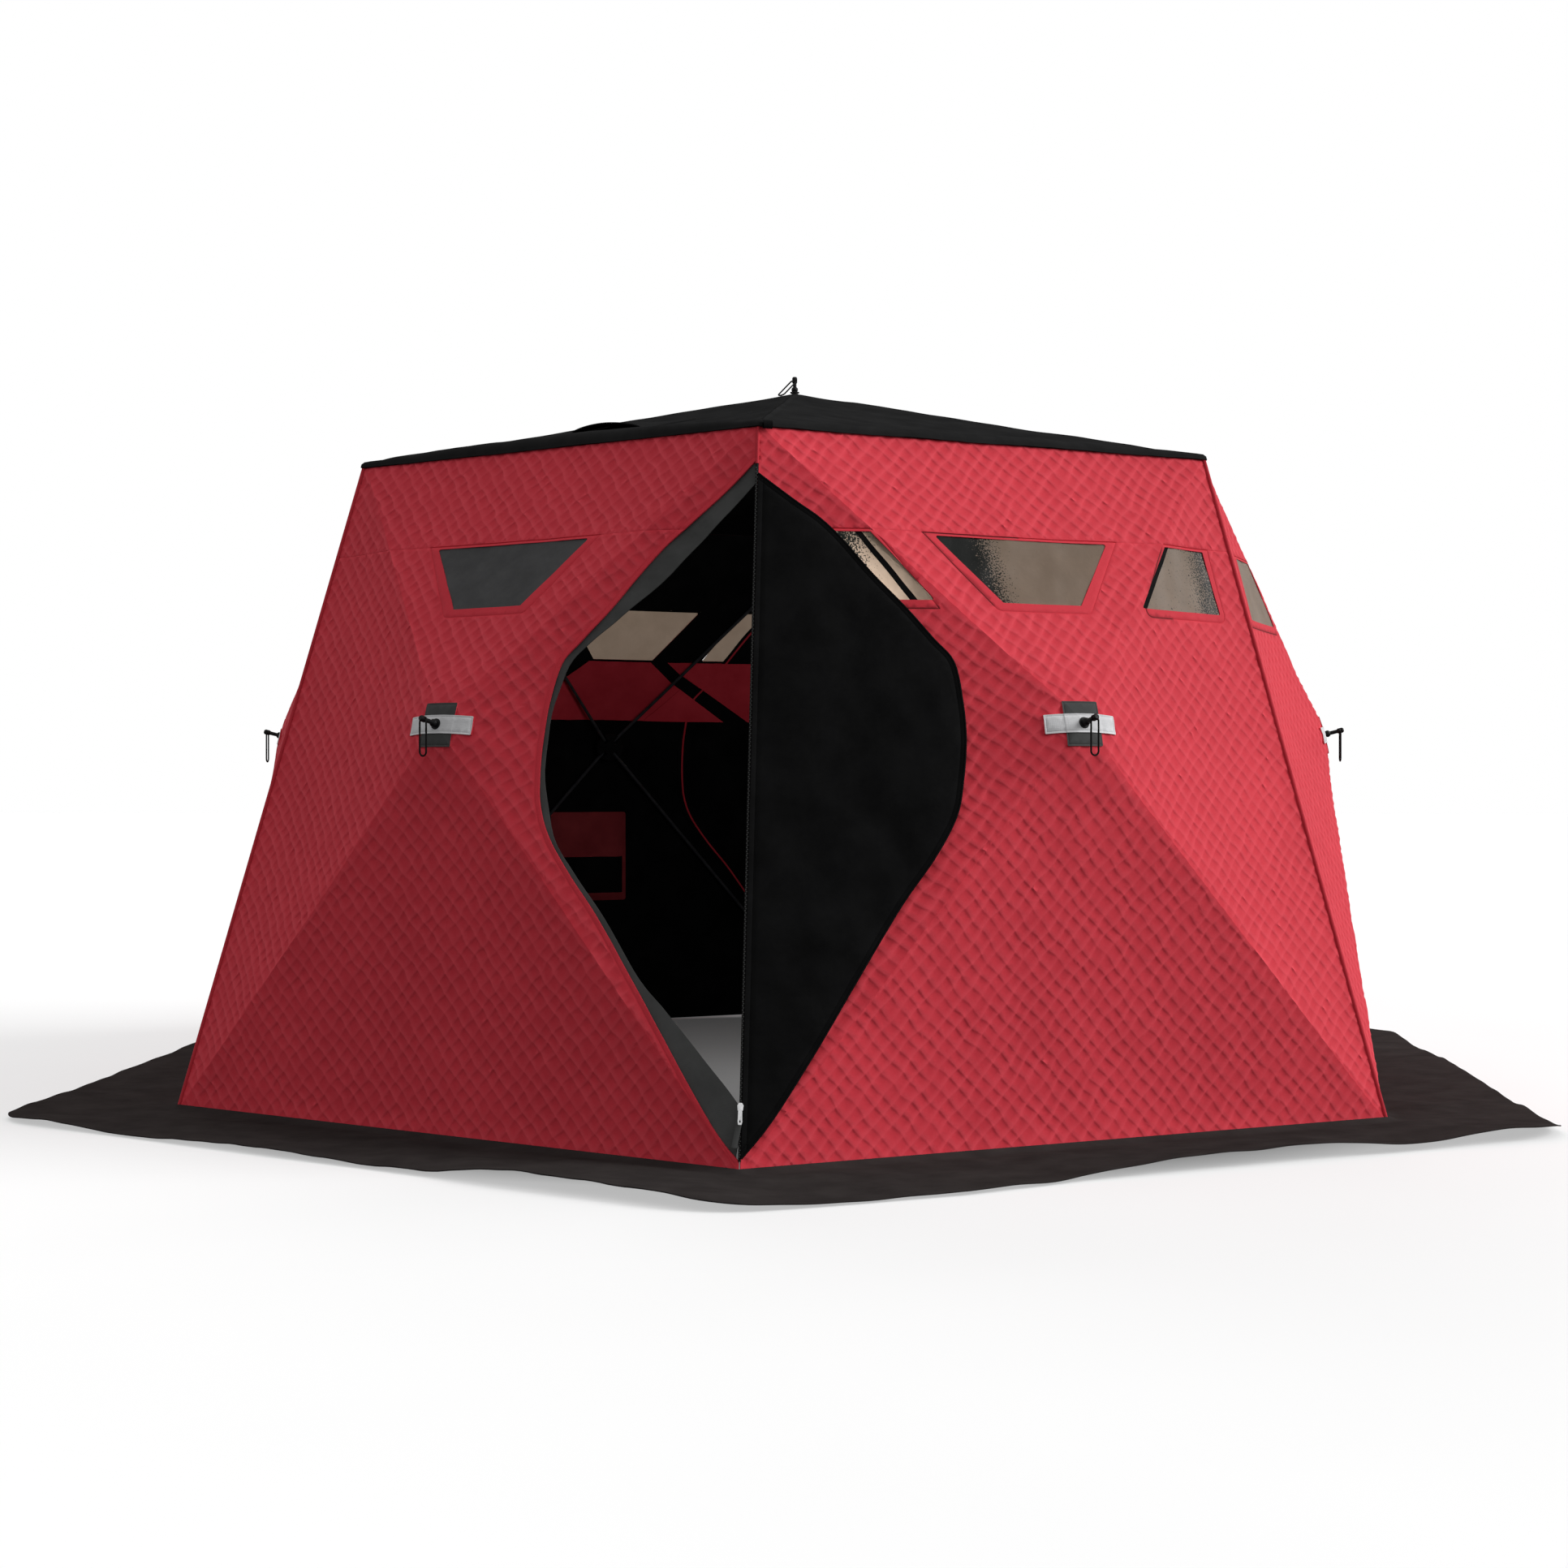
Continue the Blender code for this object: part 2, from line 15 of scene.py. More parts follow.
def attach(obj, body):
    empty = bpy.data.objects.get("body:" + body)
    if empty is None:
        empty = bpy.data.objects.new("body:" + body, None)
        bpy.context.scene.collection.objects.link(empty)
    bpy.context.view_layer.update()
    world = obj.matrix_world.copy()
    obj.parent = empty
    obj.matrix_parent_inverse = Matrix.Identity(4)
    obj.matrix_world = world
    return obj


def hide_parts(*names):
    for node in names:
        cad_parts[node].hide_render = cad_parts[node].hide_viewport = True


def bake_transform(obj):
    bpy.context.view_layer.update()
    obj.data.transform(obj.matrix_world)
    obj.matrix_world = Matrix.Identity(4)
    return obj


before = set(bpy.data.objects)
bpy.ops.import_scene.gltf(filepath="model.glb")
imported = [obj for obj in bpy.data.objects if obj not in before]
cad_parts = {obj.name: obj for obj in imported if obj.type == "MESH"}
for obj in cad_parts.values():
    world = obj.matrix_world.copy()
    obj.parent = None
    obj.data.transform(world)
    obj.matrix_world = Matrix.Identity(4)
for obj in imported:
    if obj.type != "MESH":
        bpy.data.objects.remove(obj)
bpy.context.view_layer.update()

# ---------------------------------------------------------------- sizes from the CAD source
SIDES = 6
BASE_RADIUS, EAVE_RADIUS = 1.830, 1.322
EAVE_HEIGHT, PEAK_HEIGHT = 1.749, 2.043
HUB_APOTHEM, HUB_HEIGHT = 1.571, 1.013
FABRIC, SEAM_GAP, WALL_CLEARANCE = 0.004, 0.004, 0.006
HUB_HOLE_RADIUS = 0.012
WINDOW_TOP, WINDOW_BOTTOM, WINDOW_ROUNDING = 1.480, 1.312, 0.004
MIDDLE_WINDOW_HALF = (0.252, 0.113)
SIDE_WINDOW_INNER = (0.430, 0.300)
SIDE_WINDOW_OUTER = (0.590, 0.617)
STRIP_WINDOW_OUTER, STRIP_WINDOW_WAIST = (0.500, 0.440, 0.385), 1.395
HINGE_OFFSET, DOOR_STANDOFF = 0.001, radians(0.5)
SKIRT_WIDTH, SKIRT_ROUNDING = 0.400, 0.200
TIP_HEIGHT, ROOF_TIP_HEIGHT, EYE_DROP = 0.060, 0.050, 0.010
LOOP_HALF_WIDTH, LOOP_BEND = 0.0105, 0.0095
LOOP_LENGTH, ROOF_LOOP_LENGTH = 0.090, 0.095
ROOF_LOOP_DROP, CORD_RADIUS = radians(36.0), 0.0023
WALLS = ("front_right", "right", "back_right", "back_left", "left", "front_left")
CORNERS = ("front", "front_right", "back_right", "back", "back_left", "front_left")

BASE_APOTHEM = BASE_RADIUS * cos(pi / SIDES)
EAVE_APOTHEM = EAVE_RADIUS * cos(pi / SIDES)
SLOPE = Vector((0, BASE_APOTHEM - EAVE_APOTHEM, EAVE_HEIGHT)).normalized()
OUTWARD = Vector((0, -SLOPE.z, SLOPE.y))
HUB_POINT = Vector((0, -HUB_APOTHEM, HUB_HEIGHT))
WALL_AXES = Matrix((Vector((1, 0, 0)), SLOPE, OUTWARD)).transposed()
WALL_FRAME = Matrix.Translation(HUB_POINT) @ WALL_AXES.to_4x4()

# ---------------------------------------------------------------- sizes of the looks
QUILT_PITCH = 0.0335          # across one diamond, between its parallel sides
QUILT_DEPTH = 0.0030
DEEPEST = 0.0032              # the front stays this near, clear of the cloth's back
QUILT_STEPS = (0.0, 0.10, 0.27, 0.62)     # where each diamond has vertices
SAG = 0.009                   # a wall triangle's middle hangs in by this much
BORDER = 0.021                # flat band round a window
STRAP = (0.100, 0.0235)       # half length and half width of the webbing at a hub
PATCH = (0.050, 0.056)
SEAM_HEIGHT = WINDOW_TOP + 0.007
CREASE = radians(50.0)        # edges sharper than this are not smoothed
PATCH_RISE, STRAP_RISE = 0.0018, 0.0034
EDGE_SLACK = 0.0002           # a vertex this near an outline counts as inside it
WALL_STEP, ROOF_STEP = 0.0095, 0.018      # between vertices along the panels' edges
BACK_STEP = 0.036             # between vertices on the inner side of the walls
# Seams: how deep the groove is, and how far to its side it has almost gone
WALL_SEAM, BORDER_SEAM = (0.0016, 0.0016), (0.0018, 0.0015)
DOORWAY_SEAM, DOORWAY_SEAM_GAP = (0.0012, 0.0014), 0.011
TRIM_SEAM, TRIM_SEAM_GAP = (0.0007, 0.0006), 0.0045
DOOR_SEAM = (0.0012, 0.0014)
# Welts and zip, up a corner line: where they start and end, how far out, and their radius
WELT_TOP, WELT = 1.812, (0.008, -0.0012, 0.0062)
FRONT_WELT = (1.712, -0.0015, 0.0045)
TAPE_ENDS, TAPE_OUT, TAPE_RADIUS = (0.030, 1.712), -0.0012, 0.0034
TEETH_ENDS, TEETH_OUT, TOOTH_PITCH = (0.040, 1.700), 0.0024, 0.0050
TOOTH_SIZE, TOOTH_SHIFT = (0.0026, 0.0030, 0.0016), 0.0009
# Depths are distances in from the smooth cloth of the wall
FILM_LAP, FILM_DEPTHS = 0.006, (0.0012, 0.0020)
LINING_DEPTHS = (0.0052, 0.0072)
PIPING_DEPTH, PIPING_RADIUS = 0.0100, 0.0035
HANGING_DEPTHS = (0.0, 0.0018)
HANGING_ROOM = 0.0135         # a hanging cover stands clear of the piping behind it
COVER_DEPTH = 0.006           # a folded window cover stands this far in from the lining
COVER_LAP = 0.020             # and reaches this far past its window
DOOR_HEM, BINDING_RADIUS = 0.012, 0.0030
ROOF_SAG = 0.011              # a roof triangle's middle hangs down by this much
CUBIC_PEAK = 27               # makes the product of three equal shares of a triangle come to 1


def turn(wall):
    """Turns a wall's frame from the -Y side round to its place."""
    return Matrix.Rotation(pi / SIDES + wall * 2 * pi / SIDES, 4, "Z")


def corner(number, radius, height):
    """A corner of the hexagon, 0 at -Y, then anticlockwise from above."""
    angle = -pi / 2 + number * 2 * pi / SIDES
    return Vector((radius * cos(angle), radius * sin(angle), height))


def ramp(low, high, x):
    """A smooth step from 0 at low to 1 at high."""
    t = np.clip((x - low) / (high - low), 0, 1)
    return t * t * (3 - 2 * t)


class Waves:
    """A smooth random field from -1 to 1: a fixed sum of sines of about this wavelength."""

    def __init__(self, seed, wavelength, count=9):
        draw = np.random.RandomState(seed)
        lengths = wavelength * (0.65 + 0.9 * draw.rand(count))
        angles = 2 * pi * draw.rand(count)
        self.kx, self.ky = 2 * pi / lengths * np.cos(angles), 2 * pi / lengths * np.sin(angles)
        self.phase, self.scale = 2 * pi * draw.rand(count), 1.7 / count ** 0.5 / 2

    def __call__(self, x, y):
        total = np.zeros_like(np.asarray(x, float))
        for kx, ky, phase in zip(self.kx, self.ky, self.phase):
            total += np.sin(kx * x + ky * y + phase)
        return np.clip(total * self.scale, -1, 1)


# ---------------------------------------------------------------- flat shapes

def rounded(points, radii, steps=6):
    """A closed outline through the points, each corner rounded to its radius."""
    outline, count = [], len(points)
    for index, radius in enumerate(radii):
        here = Vector(points[index])
        before = (Vector(points[index - 1]) - here).normalized()
        after = (Vector(points[(index + 1) % count]) - here).normalized()
        if radius == 0:
            outline.append(tuple(here))
            continue
        half = acos(max(-1.0, min(1.0, before.dot(after)))) / 2
        middle = here + (before + after).normalized() * radius / sin(half)
        first = here + before * radius / tan(half) - middle
        sweep = first.angle_signed(here + after * radius / tan(half) - middle)
        for step in range(steps + 1):
            outline.append(tuple(middle + Matrix.Rotation(-sweep * step / steps, 2) @ first))
    return outline


def offset(polygon, distance):
    """A closed anticlockwise outline moved outwards by this much."""
    count, grown = len(polygon), []
    for index in range(count):
        here = Vector(polygon[index])
        before = here - Vector(polygon[index - 1])
        after = Vector(polygon[(index + 1) % count]) - here
        normals = [Vector((d.y, -d.x)).normalized() for d in (before, after)]
        middle = normals[0] + normals[1]
        grown.append(tuple(here + middle * (2 * distance / max(middle.length_squared, 0.2))))
    return grown


def anticlockwise(polygon):
    area = sum(polygon[i - 1][0] * polygon[i][1] - polygon[i][0] * polygon[i - 1][1]
               for i in range(len(polygon)))
    return list(polygon) if area > 0 else list(polygon)[::-1]


def sampled(points, spacing, closed=True):
    """The same outline with points about this far apart."""
    result, count = [], len(points)
    for index in range(count if closed else count - 1):
        a, b = np.array(points[index]), np.array(points[(index + 1) % count])
        steps = max(1, int(round(np.linalg.norm(b - a) / spacing)))
        result += [tuple(a + (b - a) * step / steps) for step in range(steps)]
    return result if closed else result + [tuple(points[-1])]


def inside(places, polygon):
    """Which places are inside a closed outline."""
    x, y = places[:, 0], places[:, 1]
    result = np.zeros(len(places), bool)
    px, py = polygon[-1]
    for qx, qy in polygon:
        crosses = (qy > y) != (py > y)
        if py != qy:
            result ^= crosses & (x < (px - qx) * (y - qy) / (py - qy) + qx)
        px, py = qx, qy
    return result


def distance(places, line, closed=True):
    """How far each place is from the line."""
    best = np.full(len(places), 9.0)
    for index in range(len(line) if closed else len(line) - 1):
        a, b = np.array(line[index]), np.array(line[(index + 1) % len(line)])
        along = b - a
        if not along.any():
            continue
        t = np.clip((places - a) @ along / (along @ along), 0, 1)
        best = np.minimum(best, np.linalg.norm(places - a - t[:, None] * along, axis=1))
    return best


def signed(places, polygon):
    """Distance to an outline, negative inside it."""
    return np.where(inside(places, polygon), -1, 1) * distance(places, polygon)


def triangulate(outline, holes, guides, places):
    """Triangles over an outline less its holes, with these lines as edges. guides: (line, closed)."""
    verts, edges = [], []
    for line, closed in [(outline, True)] + [(hole, True) for hole in holes] + list(guides):
        first = len(verts)
        verts += [Vector(point) for point in line]
        edges += [(first + i, first + i + 1) for i in range(len(line) - 1)]
        if closed:
            edges.append((len(verts) - 1, first))
    verts += [Vector(point) for point in places]
    made = delaunay_2d_cdt(verts, edges, [], 0, 1e-6)
    flat = np.array([tuple(v) for v in made[0]])
    faces = np.array([face for face in made[2] if len(face) == 3])
    middles = flat[faces].mean(1)
    keep = inside(middles, outline)
    for hole in holes:
        keep &= ~inside(middles, hole)
    faces = faces[keep]
    a, b, c = flat[faces[:, 0]], flat[faces[:, 1]], flat[faces[:, 2]]
    area = (b[:, 0] - a[:, 0]) * (c[:, 1] - a[:, 1]) - (b[:, 1] - a[:, 1]) * (c[:, 0] - a[:, 0])
    faces = np.where((area < 0)[:, None], faces[:, ::-1], faces)[np.abs(area) > 1e-12]
    used = np.unique(faces)
    renumber = np.full(len(flat), -1)
    renumber[used] = np.arange(len(used))
    return flat[used], renumber[faces]


def border_edges(faces):
    """Directed edges that only one triangle has."""
    edges = np.concatenate([faces[:, [0, 1]], faces[:, [1, 2]], faces[:, [2, 0]]])
    count = edges.max() + 1
    keys = edges[:, 0].astype(np.int64) * count + edges[:, 1]
    twins = edges[:, 1].astype(np.int64) * count + edges[:, 0]
    return edges[~np.isin(keys, twins)]


def hexagonal_grid(low, high, spacing):
    ys = np.arange(low[1], high[1], spacing * 0.866)
    xs = np.arange(low[0] - spacing, high[0], spacing)
    return np.array([(x + (row % 2) * spacing / 2, y) for row, y in enumerate(ys) for x in xs])


def groove(gap, seam):
    """Depth of a seam's groove, this far from the seam."""
    depth, width = seam
    return depth * np.exp(-(gap / width) ** 2)


def filled(outline, spacing, inset):
    """Grid places that lie inside the outline, at least this far from it."""
    places = hexagonal_grid(np.min(outline, axis=0), np.max(outline, axis=0), spacing)
    return places[inside(places, offset(outline, -inset))]


def over(spots, z):
    """The 3D places that lie this high over flat ones."""
    return np.stack([spots[:, 0], spots[:, 1], z], 1)


def diagonal(x, y):
    """Places along the quilt's two diagonals from places across and up, or the other way."""
    return (x - y) / 2 ** 0.5, (-x - y) / 2 ** 0.5


def clear_of(places, outlines, room):
    """The places that are at least this far from every line. outlines: (line, closed)."""
    keep = np.ones(len(places), bool)
    for line, closed in outlines:
        keep &= distance(places, line, closed) > room
    return places[keep]


# ---------------------------------------------------------------- meshes and materials

def link(name, mesh, materials):
    """A new piece in the scene."""
    item = bpy.data.objects.new(name, mesh)
    for material in materials:
        mesh.materials.append(material)
    bpy.context.scene.collection.objects.link(item)
    return item


def side_faces(rings, sides):
    """The four-sided faces between each ring of vertices and the next."""
    faces = []
    for ring in range(rings - 1):
        for side in range(sides):
            a, b = ring * sides + side, ring * sides + (side + 1) % sides
            faces.append((a, b, b + sides, a + sides))
    return faces


def bend(piece):
    """Bakes the piece's place into its mesh."""
    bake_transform(piece)


def mesh_from(name, verts, faces, indices=None, uv=None):
    """A smooth mesh from arrays. indices: each face's material; uv: each vertex's flat place."""
    mesh = bpy.data.meshes.new(name)
    mesh.from_pydata(verts, [], faces)
    if indices is not None:
        mesh.polygons.foreach_set("material_index", np.asarray(indices, np.int32))
    if uv is not None:
        layer = mesh.uv_layers.new(name="flat")
        corners = np.zeros(len(mesh.loops), np.int32)
        mesh.loops.foreach_get("vertex_index", corners)
        layer.data.foreach_set("uv", np.asarray(uv, np.float32)[corners].ravel())
    mesh.update()
    mesh.shade_smooth()
    mesh.set_sharp_from_angle(angle=CREASE)
    return mesh


def add_values(piece, name, values):
    """One number at each vertex, for the materials."""
    layer = piece.data.attributes.new(name, "FLOAT", "POINT")
    layer.data.foreach_set("value", np.asarray(values, np.float32))


def shell(name, flat, faces, front, back, front_index, rim_index, back_index, spacing,
          materials, guides=()):
    """A closed sheet: its front over fine triangles, its back over coarse ones with the same edge.
    front and back give the 3D places of flat ones; the indices give the material there, as a
    number or a function of flat places."""
    edge = border_edges(faces)
    follow = {int(a): int(b) for a, b in edge}
    loops = []
    while follow:
        start = next(iter(follow))
        loop, here = [start], follow.pop(start)
        while here != start and here in follow:
            loop.append(here)
            here = follow.pop(here)
        loops.append([tuple(flat[i]) for i in loop])
    outer = max(loops, key=lambda loop: np.ptp(np.array(loop), axis=0).sum())
    holes = [loop for loop in loops if loop is not outer]
    low, high = flat.min(0), flat.max(0)
    inner = clear_of(hexagonal_grid(low, high, spacing), [(loop, True) for loop in loops],
                     spacing * 0.4)
    inner = clear_of(inner, guides, spacing * 0.25)
    flat_back, faces_back = triangulate(outer, holes, guides, inner)
    count = len(flat)
    place_of = {tuple(np.round(p * 1e5).astype(int)): i for i, p in enumerate(flat_back)}
    twin = {}
    for a in np.unique(edge):
        key = tuple(np.round(flat[a] * 1e5).astype(int))
        near = [(key[0] + i, key[1] + j) for i in (0, -1, 1) for j in (0, -1, 1)]
        found = next((place_of[k] for k in near if k in place_of), None)
        if found is None:
            found = int(np.argmin(np.abs(flat_back - flat[a]).sum(1)))
        twin[int(a)] = found + count
    rim = [(int(b), int(a), twin[int(a)], twin[int(b)]) for a, b in edge]
    verts = np.concatenate([front(flat), back(flat_back)])
    all_faces = faces.tolist() + (faces_back[:, ::-1] + count).tolist() + rim
    front_middles, back_middles = flat[faces].mean(1), flat_back[faces_back].mean(1)
    indices = np.concatenate([
        front_index(front_middles) if callable(front_index) else np.full(len(faces), front_index),
        back_index(back_middles) if callable(back_index) else np.full(len(faces_back), back_index),
        np.full(len(rim), rim_index)])
    mesh = mesh_from(name, verts.tolist(), all_faces, indices, np.concatenate([flat, flat_back]))
    return link(name, mesh, materials)


class Shader:
    """A material built node by node; numbers stay on the sockets."""

    def __init__(self, name, roughness, **sockets):
        self.material = bpy.data.materials.new(name)
        self.material.use_nodes = True
        self.tree = self.material.node_tree
        self.surface = self.tree.nodes["Principled BSDF"]
        self.surface.inputs["Roughness"].default_value = roughness
        for socket, value in sockets.items():
            self.surface.inputs[socket.replace("_", " ")].default_value = value

    def node(self, kind, inputs=(), **settings):
        made = self.tree.nodes.new(kind)
        for setting, value in settings.items():
            setattr(made, setting, value)
        for socket, value in dict(inputs).items():
            if isinstance(value, bpy.types.NodeSocket):
                self.tree.links.new(value, made.inputs[socket])
            else:
                made.inputs[socket].default_value = value
        return made

    def flat_place(self):
        """Place on the cloth, in metres."""
        return self.node("ShaderNodeUVMap", uv_map="flat").outputs[0]

    def object_place(self):
        return self.node("ShaderNodeTexCoord").outputs["Object"]

    def noise(self, place, scale, detail=3.0, roughness=0.55, distortion=0.0):
        return self.node("ShaderNodeTexNoise", {"Vector": place, "Scale": scale, "Detail": detail,
                         "Roughness": roughness, "Distortion": distortion}).outputs["Fac"]

    def steps(self, value, *stops):
        """A colour ramp: stops are (position, colour)."""
        made = self.node("ShaderNodeValToRGB", {"Fac": value})
        ramp_ = made.color_ramp
        while len(ramp_.elements) < len(stops):
            ramp_.elements.new(0.5)
        for element, (position, colour) in zip(ramp_.elements, stops):
            element.position = position
            element.color = (*colour, 1)
        return made.outputs["Color"]

    def mix(self, share, a, b, mode="MIX"):
        made = self.node("ShaderNodeMix", data_type="RGBA", blend_type=mode)
        for index, value in ((0, share), (6, a), (7, b)):
            if isinstance(value, bpy.types.NodeSocket):
                self.tree.links.new(value, made.inputs[index])
            elif index == 0:
                made.inputs[0].default_value = value
            else:
                made.inputs[index].default_value = (*value, 1)
        return made.outputs[2]

    def math(self, operation, a, b=0.0, c=0.0, clamp=False):
        made = self.node("ShaderNodeMath", operation=operation, use_clamp=clamp)
        for index, value in enumerate((a, b, c)):
            if isinstance(value, bpy.types.NodeSocket):
                self.tree.links.new(value, made.inputs[index])
            else:
                made.inputs[index].default_value = value
        return made.outputs[0]

    def remap(self, value, low, high, first=0.0, last=1.0):
        """The value's stretch from first to last, carried over to low to high."""
        return self.node("ShaderNodeMapRange", {"Value": value, "From Min": first, "From Max": last,
                         "To Min": low, "To Max": high}).outputs[0]

    def attribute(self, name):
        return self.node("ShaderNodeAttribute", attribute_name=name).outputs["Fac"]

    def set(self, socket, value):
        self.tree.links.new(value, self.surface.inputs[socket])

    def bump(self, height, strength, depth):
        made = self.node("ShaderNodeBump", {"Height": height, "Strength": strength,
                                            "Distance": depth})
        self.set("Normal", made.outputs[0])


def weave(shader, place, pitch):
    """Height of a plain weave with this thread spacing."""
    heights = []
    for direction in ("X", "Y"):
        heights.append(shader.node("ShaderNodeTexWave", {"Vector": place, "Scale": 0.5 / pitch / 3.1416,
                                   "Distortion": 1.2, "Detail": 1.0, "Detail Scale": 2.0},
                                   bands_direction=direction).outputs["Fac"])
    return shader.math("MULTIPLY", heights[0], heights[1])


def make_red_quilt(name):
    """Quilted polyester: matt red, with painted highlights on the crests between the diamonds and
    painted shadow lines beside window borders.
    """
    s = Shader(name, 0.82, Specular_IOR_Level=0.20)
    place = s.flat_place()
    broad = s.noise(place, 2.2, 3.0)
    fine = s.noise(place, 55.0, 4.0, 0.65)
    base = s.steps(broad, (0.30, (0.500, 0.027, 0.043)), (0.70, (0.590, 0.035, 0.053)))
    base = s.mix(s.math("MULTIPLY", fine, 0.35), base, (0.440, 0.019, 0.032))
    crest = s.attribute("crest")
    # painted highlight: the crests are drawn paler red
    base = s.mix(s.math("MULTIPLY", crest, 0.55, clamp=True), base, (0.760, 0.078, 0.105))
    # painted shadow: near black where the crest values are below zero, in lines beside window borders
    base = s.mix(s.math("MULTIPLY", crest, -0.93, clamp=True), base, (0.004, 0.003, 0.003))
    s.set("Base Color", base)
    s.set("Roughness", s.remap(fine, 0.72, 0.92))
    height = s.math("ADD", s.math("MULTIPLY", s.noise(place, 120.0, 4.0, 0.6), 0.8),
                    s.math("MULTIPLY", weave(s, place, 0.0011), 0.25))
    s.bump(height, 0.45, 0.0009)
    return s.material


def make_cloth(name, low, high, roughness=0.8, pitch=0.0009, strength=0.3, gloss=0.12):
    """A plain woven cloth whose colour wanders between two tones."""
    s = Shader(name, roughness, Specular_IOR_Level=gloss)
    place = s.flat_place()
    s.set("Base Color", s.steps(s.noise(place, 9.0, 5.0, 0.6), (0.32, low), (0.68, high)))
    s.set("Roughness", s.remap(s.noise(place, 70.0, 3.0), roughness - 0.10,
                               min(1.0, roughness + 0.10)))
    height = s.math("ADD", s.math("MULTIPLY", s.noise(place, 160.0, 3.0, 0.6), 0.7),
                    s.math("MULTIPLY", weave(s, place, pitch), 0.5))
    s.bump(height, strength, 0.0006)
    return s.material


def make_plastic(name, low, high, roughness, gloss=0.4):
    """Plain plastic whose colour wanders a little between two tones."""
    s = Shader(name, roughness, Specular_IOR_Level=gloss)
    place = s.object_place()
    s.set("Base Color", s.steps(s.noise(place, 40.0, 4.0), (0.3, low), (0.7, high)))
    s.set("Roughness", s.remap(s.noise(place, 220.0, 3.0), roughness - 0.08, roughness + 0.10))
    s.bump(s.noise(place, 900.0, 2.0), 0.15, 0.0003)
    return s.material


def make_film():
    """Smoked PVC film that lets soft light through: scuffed, with a painted speckled shadow."""
    s = Shader("clear_film", 0.36, Specular_IOR_Level=0.10, Transmission_Weight=0.68, IOR=1.2)
    place = s.flat_place()
    shade = s.attribute("shade")
    speck = s.noise(place, 230.0, 1.5, 0.5, 0.6)
    # painted shadow: speckled near black where the shade attribute is high
    dark = s.math("ADD", shade, s.math("MULTIPLY", s.math("SUBTRACT", speck, 0.5), 2.6))
    dark = s.remap(dark, 0.0, 1.0, 0.49, 0.53)
    tan_ = s.steps(s.noise(place, 9.0, 5.0, 0.7), (0.30, (0.360, 0.270, 0.200)),
                   (0.70, (0.450, 0.345, 0.265)))
    s.set("Base Color", s.mix(dark, tan_, (0.012, 0.014, 0.012)))
    s.bump(s.noise(place, 40.0, 5.0, 0.65, 1.5), 0.16, 0.003)
    return s.material


red_quilt = make_red_quilt("red_quilt")
red_trim = make_cloth("red_trim", (0.400, 0.022, 0.034), (0.500, 0.034, 0.050), 0.8)
red_pocket = make_cloth("red_pocket", (0.170, 0.020, 0.024), (0.230, 0.030, 0.034), 0.8)
black_lining = make_cloth("black_lining", (0.0024, 0.0024, 0.0025), (0.0056, 0.0056, 0.0058), 0.80,
                          strength=0.35, gloss=0.04)
roof_fabric = make_cloth("roof_fabric", (0.0125, 0.0125, 0.0127), (0.0185, 0.0185, 0.0187), 0.85,
                         gloss=0.0)
skirt_fabric = make_cloth("skirt_fabric", (0.026, 0.0225, 0.0220), (0.037, 0.0325, 0.0315), 0.80,
                          strength=0.45, gloss=0.0)
grey_trim = make_cloth("grey_trim", (0.046, 0.047, 0.046), (0.066, 0.067, 0.066), 0.80, 0.0016)
zip_tape = make_cloth("zip_tape", (0.0060, 0.0060, 0.0060), (0.011, 0.011, 0.011), 0.8, 0.0016)
zip_teeth = make_cloth("zip_teeth", (0.050, 0.051, 0.050), (0.080, 0.081, 0.080), 0.5, 0.0016)
light_webbing = make_cloth("light_webbing", (0.52, 0.52, 0.53), (0.66, 0.66, 0.67), 0.70, 0.0022, 0.6)
clear_film = make_film()
dark_cover = make_cloth("dark_cover", (0.040, 0.040, 0.041), (0.060, 0.060, 0.061), 0.6)
hub_plastic = make_plastic("hub_plastic", (0.0030, 0.0030, 0.0032), (0.0070, 0.0070, 0.0072), 0.50, 0.2)
pole_rod = make_plastic("pole_rod", (0.020, 0.021, 0.023), (0.036, 0.037, 0.040), 0.35)
cord_black = make_plastic("cord_black", (0.0030, 0.0030, 0.0030), (0.0090, 0.0090, 0.0090), 0.75, 0.1)


def make_metal():
    """Worn bright metal."""
    s = Shader("zip_metal", 0.42, Metallic=0.75)
    place = s.object_place()
    s.set("Base Color", s.steps(s.noise(place, 300.0, 3.0), (0.3, (0.82, 0.82, 0.83)),
                                (0.7, (0.94, 0.94, 0.95))))
    s.bump(s.noise(place, 1200.0, 2.0), 0.2, 0.0002)
    return s.material


zip_metal = make_metal()

# ---------------------------------------------------------------- camera, light and floor
camera = bpy.data.objects.new("camera", bpy.data.cameras.new("camera"))
camera.data.lens, camera.data.sensor_width = 52.51, 36.0
camera.location = (0.465, -6.8767, 0.867)
camera.rotation_euler = (pi / 2, 0, 0.0722)
bpy.context.scene.collection.objects.link(camera)
bpy.context.scene.camera = camera
bpy.context.scene.view_settings.view_transform = "Standard"


def add_sun(name, towards, strength, softness):
    """A soft light from far off. Only the key light shines back from glossy parts."""
    light = bpy.data.lights.new(name, "SUN")
    light.energy, light.angle = strength, radians(softness)
    item = bpy.data.objects.new(name, light)
    item.rotation_euler = Vector(towards).to_track_quat("Z", "Y").to_euler()
    item.visible_glossy = name == "key"
    bpy.context.scene.collection.objects.link(item)


add_sun("key", (0.883, 0.0, 0.469), 2.9, 32)
add_sun("back", (-0.30, 0.81, 0.50), 1.0, 40)

inner_light = bpy.data.lights.new("inner", "POINT")
inner_light.energy, inner_light.shadow_soft_size = 19.0, 0.35
inner_lamp = bpy.data.objects.new("inner", inner_light)
inner_lamp.location = (0.05, -0.35, 1.25)
inner_lamp.visible_camera = inner_lamp.visible_glossy = False
bpy.context.scene.collection.objects.link(inner_lamp)

